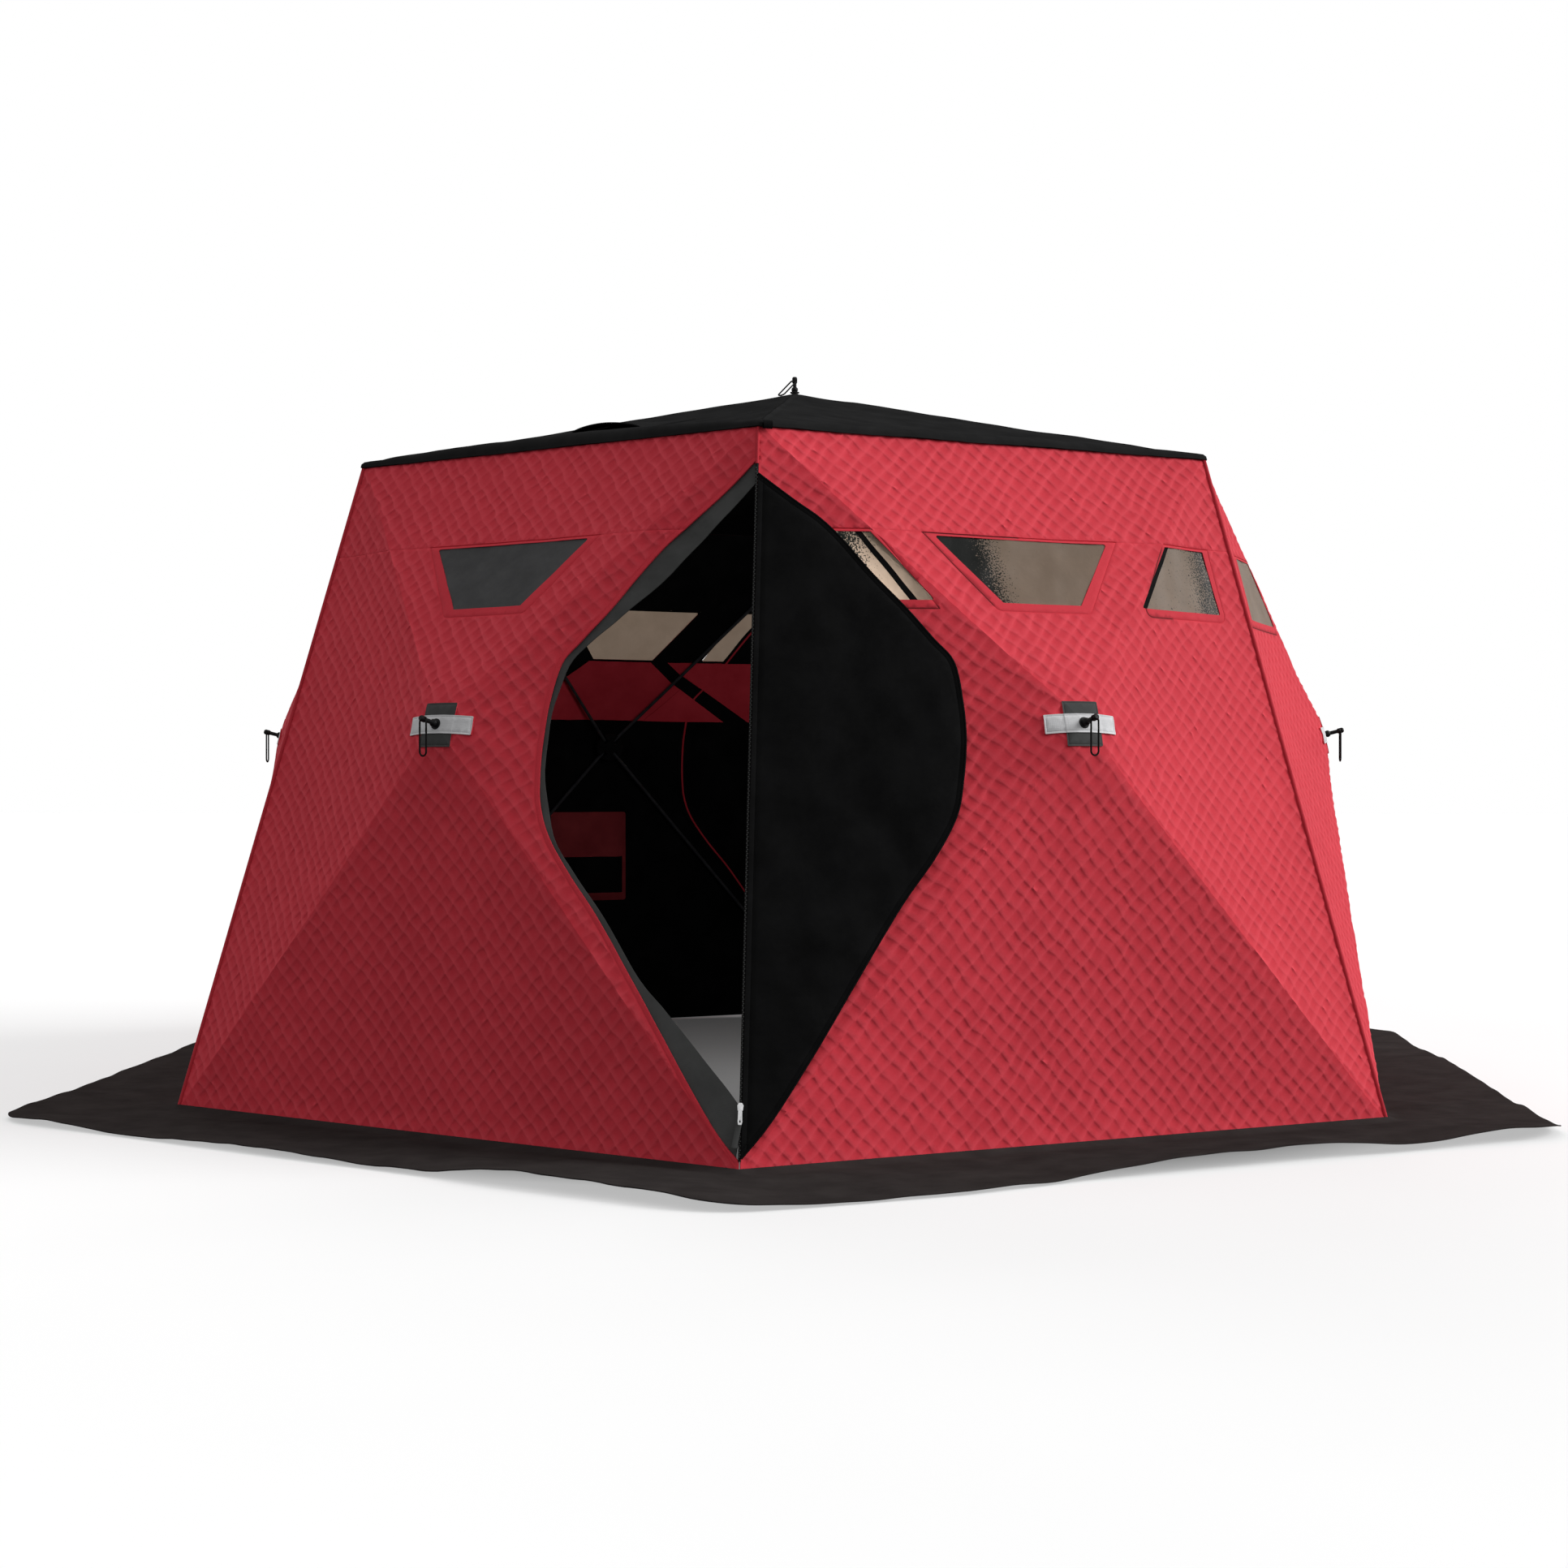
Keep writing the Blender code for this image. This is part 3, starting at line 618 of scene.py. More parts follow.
world = bpy.data.worlds.new("studio")
bpy.context.scene.world = world
world.use_nodes = True
sky = world.node_tree
backdrop = sky.nodes.new("ShaderNodeBackground")
backdrop.inputs[0].default_value = (1.0, 1.0, 1.0, 1)
sky.nodes["Background"].inputs[0].default_value = (1.0, 1.0, 1.0, 1)
sky.nodes["Background"].inputs[1].default_value = 0.655
path = sky.nodes.new("ShaderNodeLightPath")
either = sky.nodes.new("ShaderNodeMixShader")
sky.links.new(path.outputs["Is Camera Ray"], either.inputs[0])
sky.links.new(sky.nodes["Background"].outputs[0], either.inputs[1])
sky.links.new(backdrop.outputs[0], either.inputs[2])
sky.links.new(either.outputs[0], sky.nodes["World Output"].inputs[0])


def build_floor():
    """A pale floor, which glows a little so that the shadows on it stay light, and which throws
    little light back at the shelter."""
    s = Shader("floor", 0.9, Specular_IOR_Level=0.0, Emission_Color=(1, 1, 1, 1))
    place = s.object_place()
    pale = s.steps(s.noise(place, 0.6, 2.0), (0.3, (0.43, 0.43, 0.43)), (0.7, (0.45, 0.45, 0.45)))
    seen = s.node("ShaderNodeLightPath").outputs["Is Camera Ray"]
    s.set("Base Color", s.mix(seen, (0.06, 0.06, 0.06), pale))
    reach = s.node("ShaderNodeVectorMath", {0: place}, operation="LENGTH").outputs["Value"]
    outside = s.remap(reach, 0.024, 0.47, 1.6, 2.0)
    s.set("Emission Strength", s.math("MULTIPLY", outside, seen))
    verts = [(x, y, 0.0) for x in (-60, 60) for y in (-60, 60)]
    mesh = mesh_from("floor", verts, [(0, 2, 3, 1)])
    floor = link("floor", mesh, [s.material])
    floor.location.z = -0.001


build_floor()


# ---------------------------------------------------------------- walls

def wall_corners():
    """The wall's corners in its own frame, lower left first, anticlockwise from outside."""
    places = []
    for side, radius, height, lift in ((-1, BASE_RADIUS, 0, 1), (1, BASE_RADIUS, 0, 1),
                                       (1, EAVE_RADIUS, EAVE_HEIGHT, -1),
                                       (-1, EAVE_RADIUS, EAVE_HEIGHT, -1)):
        place = Vector((side * (radius / 2 - SEAM_GAP), -radius * cos(pi / SIDES), height))
        places.append(WALL_FRAME.inverted() @ (place + SLOPE * WALL_CLEARANCE * lift))
    return places


QUAD = wall_corners()
QUAD_FLAT = [(place.x, place.y) for place in QUAD]
FACETS = ("bottom", "right", "top", "left")


class Facet:
    """One of a wall's four triangles, as the plane z = a x + b y of the wall's frame."""

    def __init__(self, index):
        self.name, self.index = FACETS[index], index
        self.first, self.second = QUAD[index], QUAD[(index + 1) % 4]
        rows = [[self.first.x, self.first.y], [self.second.x, self.second.y]]
        self.a, self.b = np.linalg.solve(rows, [self.first.z, self.second.z])
        along = (self.second - self.first).normalized()
        self.foot = self.first + along * (-self.first).dot(along)

    def lay(self, upright):
        """The flat place of a point (x, z) on the upright plane that faces the wall."""
        places = []
        for x, z in upright:
            dz = z - HUB_HEIGHT
            dy = (self.a * x + (self.b * SLOPE.z - SLOPE.y) * dz) / (-SLOPE.z - self.b * SLOPE.y)
            places.append((x, SLOPE.y * dy + SLOPE.z * dz))
        return places

    def outline(self):
        """The triangle, with a round bite for the hub's stem at its tip."""
        ends = [self.first, self.second]
        angles = [atan2(end.y, end.x) for end in ends]
        if angles[1] < angles[0]:
            angles[1] += 2 * pi
        arc = [(HUB_HOLE_RADIUS * cos(angle), HUB_HOLE_RADIUS * sin(angle))
               for angle in np.linspace(angles[1], angles[0], 9)]
        flat = [(ends[0].x, ends[0].y), (ends[1].x, ends[1].y)]
        return (sampled(flat, WALL_STEP, False)[:-1]
                + sampled([flat[1], arc[0]], WALL_STEP, False)[:-1]
                + arc[:-1] + sampled([arc[-1], flat[0]], WALL_STEP, False)[:-1])


# A window's corners as (x, height) on the upright plane, grown by this much, or by top at its top

def middle_window(grow=0.0, top=None):
    high, low = MIDDLE_WINDOW_HALF
    top = grow if top is None else top
    return [(-low - grow, WINDOW_BOTTOM - grow), (low + grow, WINDOW_BOTTOM - grow),
            (high + grow * 1.5, WINDOW_TOP + top), (-high - grow * 1.5, WINDOW_TOP + top)]


def side_window(side, grow=0.0, top=None):
    top = grow if top is None else top
    points = [(SIDE_WINDOW_INNER[1] - grow * 0.3, WINDOW_BOTTOM - grow),
              (SIDE_WINDOW_OUTER[1] + grow, WINDOW_BOTTOM - grow),
              (SIDE_WINDOW_OUTER[0] + grow, WINDOW_TOP + top),
              (SIDE_WINDOW_INNER[0] - grow * 0.3, WINDOW_TOP + top)]
    return anticlockwise([(side * x, z) for x, z in points])


def strip_window(side, grow=0.0, top=None):
    top = grow if top is None else top
    high, waist, low = STRIP_WINDOW_OUTER
    points = [(SIDE_WINDOW_INNER[1] - grow * 0.3, WINDOW_BOTTOM - grow),
              (low + grow * 0.5, WINDOW_BOTTOM - grow), (waist + grow * 0.6, STRIP_WINDOW_WAIST),
              (high + grow * 0.6, WINDOW_TOP + top),
              (SIDE_WINDOW_INNER[0] - grow * 0.3, WINDOW_TOP + top)]
    return anticlockwise([(side * x, z) for x, z in points])


def windows_of(wall):
    """A wall's windows by facet: a function of how much the outline grows."""
    if wall == "front_left":
        return {"top": middle_window}
    if wall == "back_left":
        return {"top": middle_window,
                "left": lambda grow=0.0, top=None: strip_window(-1, grow, top)}
    return {"left": lambda grow=0.0, top=None: side_window(-1, grow, top), "top": middle_window,
            "right": lambda grow=0.0, top=None: side_window(1, grow, top)}


def facet_frame(number, side):
    """Frame on the wall triangle beside a corner: x up the corner line, y away from it."""
    foot, head = corner(number, BASE_RADIUS, 0), corner(number, EAVE_RADIUS, EAVE_HEIGHT)
    hub = turn(number - 1 if side > 0 else number) @ HUB_POINT
    along = (head - foot).normalized()
    across = (hub - foot) - along * (hub - foot).dot(along)
    across.normalize()
    axes = Matrix((along, across, along.cross(across))).transposed().to_4x4()
    return Matrix.Translation(foot) @ axes


def curve_through(points, steps=5):
    """A smooth line through these points."""
    line, count = [], len(points)
    for index in range(count - 1):
        p0, p1, p2, p3 = (np.array(points[min(max(i, 0), count - 1)])
                          for i in (index - 1, index, index + 1, index + 2))
        for step in range(steps):
            t = step / steps
            line.append(tuple(0.5 * (2 * p1 + (p2 - p0) * t + (2 * p0 - 5 * p1 + 4 * p2 - p3) * t * t
                                     + (3 * p1 - p0 - 3 * p2 + p3) * t ** 3)))
    return line + [tuple(points[-1])]


# Beside a corner line: (height along it, distance from it)
DOORWAY_EDGE = ((0.028, 0.0), (0.110, 0.070), (0.308, 0.191), (0.455, 0.278), (0.603, 0.368),
                (0.710, 0.443), (0.806, 0.500), (0.880, 0.524), (0.950, 0.530), (1.040, 0.528),
                (1.140, 0.516), (1.238, 0.489), (1.292, 0.441), (1.368, 0.368), (1.454, 0.294),
                (1.514, 0.238), (1.573, 0.168), (1.645, 0.083), (1.725, 0.0))
LINING_EDGE = ((0.120, -0.012), (0.168, 0.019), (0.364, 0.184), (0.455, 0.262), (0.603, 0.355),
               (0.710, 0.432), (0.806, 0.490), (0.950, 0.520), (1.040, 0.520), (1.140, 0.506),
               (1.234, 0.472), (1.284, 0.428), (1.355, 0.337), (1.454, 0.216), (1.666, 0.006),
               (1.700, -0.012))
DOOR_EDGE = ((0.036, 0.003), (0.095, 0.050), (0.161, 0.094), (0.300, 0.176), (0.434, 0.250),
             (0.629, 0.360), (0.747, 0.438), (0.850, 0.490), (0.936, 0.506), (1.041, 0.513),
             (1.136, 0.505), (1.233, 0.484), (1.288, 0.435), (1.364, 0.366), (1.445, 0.284),
             (1.526, 0.212), (1.578, 0.156), (1.620, 0.093), (1.684, 0.003))
DOORWAYS = {"front_left": ("right", 0, 1), "back_left": ("left", 3, -1)}


def beside_corner(wall, line):
    """Flat places on the wall of points (along, across) beside its doorway's corner line."""
    _, number, side = DOORWAYS[wall]
    to_wall = (turn(WALLS.index(wall)) @ WALL_FRAME).inverted() @ facet_frame(number, side)
    places = [to_wall @ Vector((s, t, 0)) for s, t in line]
    return [(place.x, place.y) for place in places]


def doorway_flat(wall):
    """The doorway's outline in the wall's flat places."""
    edge = curve_through(DOORWAY_EDGE)
    line = [(edge[0][0], -0.030)] + edge + [(edge[-1][0], -0.030)]
    return anticlockwise(beside_corner(wall, sampled(line, 0.012)))


def quilt_grid(wall_number, low, high):
    """Flat places along the quilt's own diamonds."""
    warp = quilt_warp(wall_number)
    corners = [(x, y) for x in (low[0], high[0]) for y in (low[1], high[1])]
    ps, qs = diagonal(*np.array(corners).T)

    def lines(values):
        first, last = int(min(values) // QUILT_PITCH) - 1, int(max(values) // QUILT_PITCH) + 2
        return np.array([(n + step) * QUILT_PITCH for n in range(first, last)
                         for step in QUILT_STEPS])

    p, q = np.meshgrid(lines(ps), lines(qs))
    p, q = p.ravel(), q.ravel()
    flat_p, flat_q = p.copy(), q.copy()
    for _ in range(5):
        shift_p, shift_q = warp(*diagonal(flat_p, flat_q))
        flat_p, flat_q = p - shift_p, q - shift_q
    places = np.stack(diagonal(flat_p, flat_q), 1)
    keep = np.all((places > np.array(low)) & (places < np.array(high)), axis=1)
    return places[keep]


def quilt_warp(wall_number):
    """How far the hand of the sewing machine wandered."""
    seed = 100 + 10 * wall_number
    broad, fine = [Waves(seed + i, 0.50) for i in (0, 1)], [Waves(seed + i, 0.085) for i in (2, 3)]

    def warp(x, y):
        return (0.0070 * broad[0](x, y) + 0.0042 * fine[0](x, y),
                0.0070 * broad[1](x, y) + 0.0042 * fine[1](x, y))
    return warp


def dimple(share):
    """Depth across one diamond: a sharp crest, a quick drop and a slow climb."""
    return np.sin(pi * np.clip(share, 0, 1) ** 0.62) ** 0.8


# Inside covers of the back windows, as (x, height) on the upright plane
BACK_COVERS = (((0.130, 1.306), (0.395, 1.098), (-0.395, 1.098), (-0.105, 1.306)),
               ((-0.170, 1.306), (-0.480, 1.098), (-0.560, 1.098), (-0.560, 1.306)))
HANGING_COVER = ((-0.266, 1.306), (-0.232, 1.266), (-0.480, 1.098), (-0.560, 1.098),
                 (-0.560, 1.306))
CORNER_COVER = ((-0.235, 1.2128), (-0.120, 1.098), (-0.395, 1.098))


class WallCloth:
    """The whole wall's height field, over flat places (x, y) of the wall's frame."""

    def __init__(self, number, wall):
        self.number, self.wall = number, wall
        self.warp = quilt_warp(number)
        self.uneven = Waves(200 + number, 0.09)
        self.broad, self.medium = Waves(300 + number, 0.55), Waves(310 + number, 0.16)
        self.facets = [Facet(index) for index in range(4)]
        self.windows = windows_of(wall)
        self.matrix = turn(number) @ WALL_FRAME
        self.doorway = doorway_flat(wall) if wall in DOORWAYS else None

    def facet(self, name):
        return self.facets[FACETS.index(name)]

    def upright(self, flat, z):
        """Places (x, height) on the upright plane, from flat ones with their height."""
        return np.stack([flat[:, 0], HUB_HEIGHT + SLOPE.z * flat[:, 1] + OUTWARD.z * z], 1)

    def smooth_height(self, facet, flat):
        """The stretched cloth without its quilting."""
        x, y = flat[:, 0], flat[:, 1]
        plane = facet.a * x + facet.b * y
        first, second = facet.first, facet.second
        area = first.x * second.y - second.x * first.y
        b1 = np.clip((x * second.y - second.x * y) / area, 0, 1)
        b2 = np.clip((first.x * y - x * first.y) / area, 0, 1)
        b0 = np.clip(1 - b1 - b2, 0, 1)
        edge = ramp(0.0, 0.05, distance(flat, QUAD_FLAT))
        reach = np.hypot(x, y)
        angle = np.arctan2(y, x)
        # small creases fan out from the hub, where the cloth also lies flatter
        rays = np.sin(11 * angle + 1.3 * np.sin(3 * angle + self.number)) * 0.5 - 0.5
        pull = 0.0022 * rays * ramp(0.05, 0.11, reach) * np.exp(-((reach - 0.1) / 0.17) ** 2)
        hang = -SAG * CUBIC_PEAK * b0 * b1 * b2 - 0.75 * plane * np.exp(-(reach / 0.135) ** 2)
        wander = 0.0016 * (self.broad(x, y) - 1) + 0.0008 * (self.medium(x, y) - 1)
        return plane + hang + pull + wander * edge * ramp(0.03, 0.15, reach)

    def trims(self):
        """Sewn-on parts: outlines in flat places, each with its height and material number."""
        result = []
        for (half, wide), radius, rise in ((PATCH, 0.003, PATCH_RISE), (STRAP, 0.002, STRAP_RISE)):
            ends = [(-half, -wide), (half, -wide), (half, wide), (-half, wide)]
            result.append((rounded(ends, [radius] * 4, 3), rise, len(result) + 1))
        return result

    def borders(self, facet):
        """Flat bands round the facet's window, up to the seam that crosses the wall."""
        if facet.name not in self.windows:
            return []
        grown = self.windows[facet.name](BORDER, SEAM_HEIGHT - WINDOW_TOP)
        return [facet.lay(rounded(grown, [0.022] * (len(grown) - 2) + [0.0, 0.0], 4))
                if facet.name != "left" or self.wall != "back_left"
                else facet.lay(grown)]

    def relief(self, facet, flat):
        """Quilting, seams and sewn-on parts over the smooth cloth, and the crests' painted highlight
        less the painted shadow lines.
        """
        x, y = flat[:, 0], flat[:, 1]
        shift_p, shift_q = self.warp(x, y)
        p, q = diagonal(x, y)
        p, q = (p + shift_p) / QUILT_PITCH, (q + shift_q) / QUILT_PITCH
        p, q = (p + 1e-4) % 1.0, (q + 1e-4) % 1.0
        depth = dimple(p) * dimple(q)
        amount = (1 + 0.35 * self.uneven(x, y)) * ramp(0.0, 0.010, distance(flat, QUAD_FLAT))
        near_p, near_q = np.minimum(p, 1 - p), np.minimum(q, 1 - q)
        # painted highlight along the crests, stronger on one diagonal, as if lit from the upper right
        crest = np.maximum(0.65 * np.exp(-(near_p / 0.09) ** 2), np.exp(-(near_q / 0.09) ** 2))
        for border in self.borders(facet):
            gap = signed(flat, border)
            amount = amount * ramp(0.001, 0.009, gap)
        if self.doorway:
            amount = amount * ramp(0.010, 0.020, distance(flat, self.doorway))
        height = -QUILT_DEPTH * amount * depth
        seam = np.abs(self.upright(flat, facet.a * x + facet.b * y)[:, 1] - SEAM_HEIGHT)
        height = height * ramp(0.001, 0.006, seam) - groove(seam, WALL_SEAM)
        for border in self.borders(facet):
            height = height - groove(distance(flat, border), BORDER_SEAM)
        if self.doorway:
            gap = distance(flat, self.doorway)
            height = height - groove(gap - DOORWAY_SEAM_GAP, DOORWAY_SEAM)
        for outline, raised, _ in self.trims():
            gap = signed(flat, outline)
            height = np.where(gap < EDGE_SLACK, np.maximum(height * 0.2, -0.0004) + raised, height)
            height = height - groove(gap + TRIM_SEAM_GAP, TRIM_SEAM)
        height = np.maximum(height, -DEEPEST)
        # less the painted shadow lines beside the window borders
        return height, crest * np.clip(amount, 0, 1) - self.painted_border_shadow(facet, flat)

    def painted_border_shadow(self, facet, flat):
        """Painted shadow line along one side of a window's border."""
        if self.wall in DOORWAYS or facet.name not in self.windows:
            return 0.0
        spots = self.upright(flat, facet.a * flat[:, 0] + facet.b * flat[:, 1])
        low = spots[:, 1] < WINDOW_BOTTOM - 0.010
        chosen = {"left": low, "top": (spots[:, 0] < 0) & ~low,
                  "right": spots[:, 0] < 0.42}[facet.name]
        return chosen * np.exp(-(distance(flat, self.borders(facet)[0]) / 0.0016) ** 2)

    def guides(self, facet):
        """Lines that have to be edges of the mesh: along borders, trims, seam and doorway."""
        lines = []
        for border in self.borders(facet):
            for grow in (-0.0016, 0.0, 0.0016):
                lines.append((sampled(offset(border, grow), 0.008), True))
        for outline, _, _ in self.trims():
            for grow in (0.0005, 0.0, -0.0037, -0.0045, -0.0053):
                lines.append((sampled(offset(outline, grow), 0.008), True))
        if facet.name != "bottom":
            for rise in (-0.0018, 0.0, 0.0018):
                ends = facet.lay([(-0.8, SEAM_HEIGHT + rise), (0.8, SEAM_HEIGHT + rise)])
                a, b = np.array(ends)
                kept = [tuple(a + (b - a) * t) for t in np.linspace(0, 1, 201)]
                kept = [p for p in kept if inside(np.array([p]), offset(self.triangle(facet), -0.001))]
                if len(kept) > 1:
                    lines.append((kept, False))
        if self.doorway and facet.name == DOORWAYS[self.wall][0]:
            for grow in (0.0096, 0.011, 0.0124):
                line = sampled(offset(self.doorway, grow), 0.012)
                shape = offset(self.triangle(facet), -0.0015)
                kept = [p for p in line if inside(np.array([p]), shape)]
                start = max(range(len(kept)),
                            key=lambda i: np.hypot(*(np.array(kept[i]) - np.array(kept[i - 1]))))
                lines.append((kept[start:] + kept[:start], False))
        return lines

    def triangle(self, facet):
        """The facet's whole triangle, without the hub's hole."""
        return [(facet.first.x, facet.first.y), (facet.second.x, facet.second.y), (0.0, 0.0)]

    def covers(self, facet):
        """Window covers, folded down inside below their windows."""
        if self.wall == "back_left":
            return [anticlockwise(facet.lay(cover)) for cover in BACK_COVERS]
        if self.wall == "front_left":
            return []
        outlines = []
        fold = WINDOW_BOTTOM - 0.006
        for window in self.windows.values():
            grown = window(COVER_LAP)
            flipped = [(x, 2 * fold - z) for x, z in grown]
            outlines.append(anticlockwise([tuple(p) for p in facet.lay(flipped)]))
        return outlines

    def build(self, index):
        """One facet as a closed sheet, with its windows and doorway cut out."""
        facet = self.facets[index]
        outline = facet.outline()
        holes = []
        if facet.name in self.windows:
            window = self.windows[facet.name]()
            radii = [WINDOW_ROUNDING] * len(window)
            holes.append(anticlockwise(sampled(facet.lay(rounded(window, radii, 3)), 0.010)))
        if self.doorway and facet.name == DOORWAYS[self.wall][0]:
            holes.append(self.doorway)
        guides = self.guides(facet)
        tri = self.triangle(facet)
        low, high = np.min(tri, axis=0), np.max(tri, axis=0)
        places = quilt_grid(self.number, low, high)
        places = places[inside(places, offset(tri, -0.003))]
        places = places[np.hypot(places[:, 0], places[:, 1]) > HUB_HOLE_RADIUS + 0.004]
        for hole in holes:
            places = places[~inside(places, offset(hole, 0.003))]
        places = clear_of(places, guides, 0.0022)
        flat, faces = triangulate(outline, holes, guides, places)
        covers = self.covers(facet)

        def front(spots):
            return over(spots, self.smooth_height(facet, spots) + self.relief(facet, spots)[0])

        def back(spots):
            z = self.smooth_height(facet, spots) - FABRIC
            loose = COVER_DEPTH + 0.002 * self.medium(spots[:, 0] * 2, spots[:, 1] * 2)
            for cover in covers:
                z = z - np.where(signed(spots, cover) < EDGE_SLACK, loose, 0.0)
            return over(spots, z)

        def front_index(middles):
            numbers = np.zeros(len(middles), np.int32)
            for shape, _, number in self.trims():
                numbers[inside(middles, shape)] = number
            return numbers

        def back_index(middles):
            numbers = np.full(len(middles), 3, np.int32)
            for cover in covers:
                numbers[inside(middles, cover)] = 4
            return numbers

        lining_guides = [(sampled(offset(cover, grow), 0.012), True)
                         for cover in covers for grow in (0.0005, 0.0)]
        name = f"cloth_{self.wall}_{facet.name}"
        piece = shell(name, flat, faces, front, back, front_index, 0, back_index, BACK_STEP,
                      [red_quilt, grey_trim, light_webbing, black_lining, red_trim],
                      lining_guides)
        crest = np.zeros(len(piece.data.vertices), np.float32)
        crest[:len(flat)] = self.relief(facet, flat)[1]
        add_values(piece, "crest", crest)
        piece.data.transform(self.matrix)
        self.attach(piece, facet)
        if index == 0:
            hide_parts("wall_" + self.wall)

    def attach(self, piece, facet):
        """Bakes the piece's place into its mesh."""
        bend(piece)

    def build_films(self):
        """The panes, one behind each window."""
        for name, window in self.windows.items():
            facet = self.facet(name)
            outline = anticlockwise(facet.lay(rounded(window(FILM_LAP), [0.003] * len(window()), 3)))
            outline = sampled(outline, 0.010)
            pole_shadows = [anticlockwise(facet.lay(bar)) for bar in FILM_POLE_SHADOWS.get((self.wall, name), ())]
            guides = [(sampled(bar, 0.006), True) for bar in pole_shadows]
            places = clear_of(filled(outline, 0.010, 0.004), guides, 0.002)
            flat, faces = triangulate(outline, [], guides, places)
            ripple = Waves(400 + self.number * 3 + facet.index, 0.09)

            def surface(spots, depth):
                z = self.smooth_height(facet, spots)
                return over(spots, z - depth + 0.0010 * (ripple(spots[:, 0], spots[:, 1]) - 1))

            # the painted pole shadows take the black lining's colour
            def index(middles):
                numbers = np.zeros(len(middles), np.int32)
                for bar in pole_shadows:
                    numbers[inside(middles, bar)] = 1
                return numbers

            cloth_ = dark_cover if self.wall == "front_left" else clear_film
            piece = shell(f"film_{self.wall}_{name}", flat, faces,
                          lambda s: surface(s, FILM_DEPTHS[0]),
                          lambda s: surface(s, FILM_DEPTHS[1]), index, 0, 0, 0.012,
                          [cloth_, black_lining])
            add_values(piece, "shade", film_shade(self.wall, name, piece))
            piece.data.transform(self.matrix)
            if name == "top":
                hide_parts("window_film_" + self.wall)
            self.attach(piece, facet)


# Painted dark strips on two panes, standing in for the poles behind them seen through as shadow, as (x,
# height) on the upright plane
FILM_POLE_SHADOWS = {("front_right", "right"): (((0.297, 1.3075), (0.316, 1.3075), (0.4495, 1.4835),
                                         (0.4305, 1.4835)),),
             ("front_right", "left"): (((-0.356, 1.3075), (-0.338, 1.3075), (-0.452, 1.4835),
                                        (-0.468, 1.4835)),)}


def film_shade(wall, name, piece):
    """How dark the film is: a speckled shadow that comes in from one side."""
    spots = np.array([v.co for v in piece.data.vertices])
    x, y = spots[:, 0], spots[:, 1]
    low, high = x.min(), x.max()
    share = (x - low) / (high - low)
    slant = (y - y.min()) / np.ptp(y)
    if name == "top" and wall not in DOORWAYS:
        return 2.11 - 5.4 * share
    if name == "right":
        top_edge = np.where(share > 0.35, 0.28 * ramp(0.80, 1.00, slant), 0.0)
        return np.clip(np.maximum(2.9 * (share - 0.61), top_edge), -0.50, 0.62)
    if name == "left" and wall == "front_right":
        return np.clip(3.0 * (0.62 - share) + 0.10 * slant, -0.50, 0.80)
    return np.full(len(x), -0.50)


cloths = [WallCloth(number, wall) for number, wall in enumerate(WALLS)]
for cloth in cloths:
    for index in range(4):
        cloth.build(index)
    cloth.build_films()

# ---------------------------------------------------------------- doorway linings and the pocket

def lining_places(wall):
    """The band of lining round a doorway: it laps behind the wall and shows inside the opening.
    Behind the shut back door it is wide enough to cover the gap."""
    outer = [(s, t + 0.016) for s, t in curve_through(DOORWAY_EDGE)]
    outer = [(min(max(s, 0.010), 1.760), max(t, 0.0)) for s, t in outer]
    inner = curve_through(LINING_EDGE)[::-1]
    lap = 0.0 if wall == "front_left" else 0.024
    inner = [(s, max(t - lap, 0.0)) for s, t in inner]
    line = sampled([p for i, p in enumerate(outer + inner) if i == 0 or p != (outer + inner)[i - 1]],
                   0.012)
    return anticlockwise(beside_corner(wall, line))


def build_lining(cloth):
    """The lining sewn round a doorway, flush behind the wall's cloth."""
    facet = cloth.facet(DOORWAYS[cloth.wall][0])
    outline = lining_places(cloth.wall)
    flat, faces = triangulate(outline, [], [], filled(outline, 0.012, 0.004))
    ripple = Waves(520 + cloth.number, 0.11)

    def surface(spots, depth):
        z = cloth.smooth_height(facet, spots) - depth
        return over(spots, z + 0.0014 * (ripple(spots[:, 0], spots[:, 1]) - 1))

    cloth_ = grey_trim if cloth.wall == "front_left" else black_lining
    piece = shell("doorway_lining_" + cloth.wall, flat, faces,
                  lambda s: surface(s, LINING_DEPTHS[0]), lambda s: surface(s, LINING_DEPTHS[1]),
                  0, 0, 0, 0.014, [cloth_])
    piece.data.transform(cloth.matrix)
    cloth.attach(piece, facet)


def tube(name, points, radius, material, sides=8):
    """A closed tube along the points."""
    points = [Vector(p) for p in points]
    verts, up = [], None
    for index, here in enumerate(points):
        ahead = points[min(index + 1, len(points) - 1)] - points[max(index - 1, 0)]
        ahead.normalize()
        if up is None:
            up = ahead.orthogonal()
        up = (up - ahead * up.dot(ahead)).normalized()
        across = ahead.cross(up)
        for side in range(sides):
            angle = 2 * pi * side / sides
            verts.append(here + up * radius * cos(angle) + across * radius * sin(angle))
    faces = side_faces(len(points), sides)
    faces.append(tuple(range(sides))[::-1])
    faces.append(tuple(range((len(points) - 1) * sides, len(points) * sides)))
    uv = [(0.02 * (i % sides) / sides, 0.01 * (i // sides)) for i in range(len(verts))]
    return link(name, mesh_from(name, [tuple(v) for v in verts], faces, uv=uv), [material])


def build_back_door_piping(cloth):
    """Red piping round the back doorway, seen from inside."""
    facet = cloth.facet(DOORWAYS[cloth.wall][0])
    line = np.array(beside_corner(cloth.wall, sampled(curve_through(DOORWAY_EDGE), 0.015, False)))
    z = cloth.smooth_height(facet, line) - PIPING_DEPTH
    path = [cloth.matrix @ Vector((x, y, h)) for (x, y), h in zip(line, z)]
    piece = tube("doorway_piping_" + cloth.wall, path, PIPING_RADIUS, red_trim, 6)
    cloth.attach(piece, facet)


POCKET = (-0.080, 0.208, 0.450, 0.768)        # x from and to, and height from and to


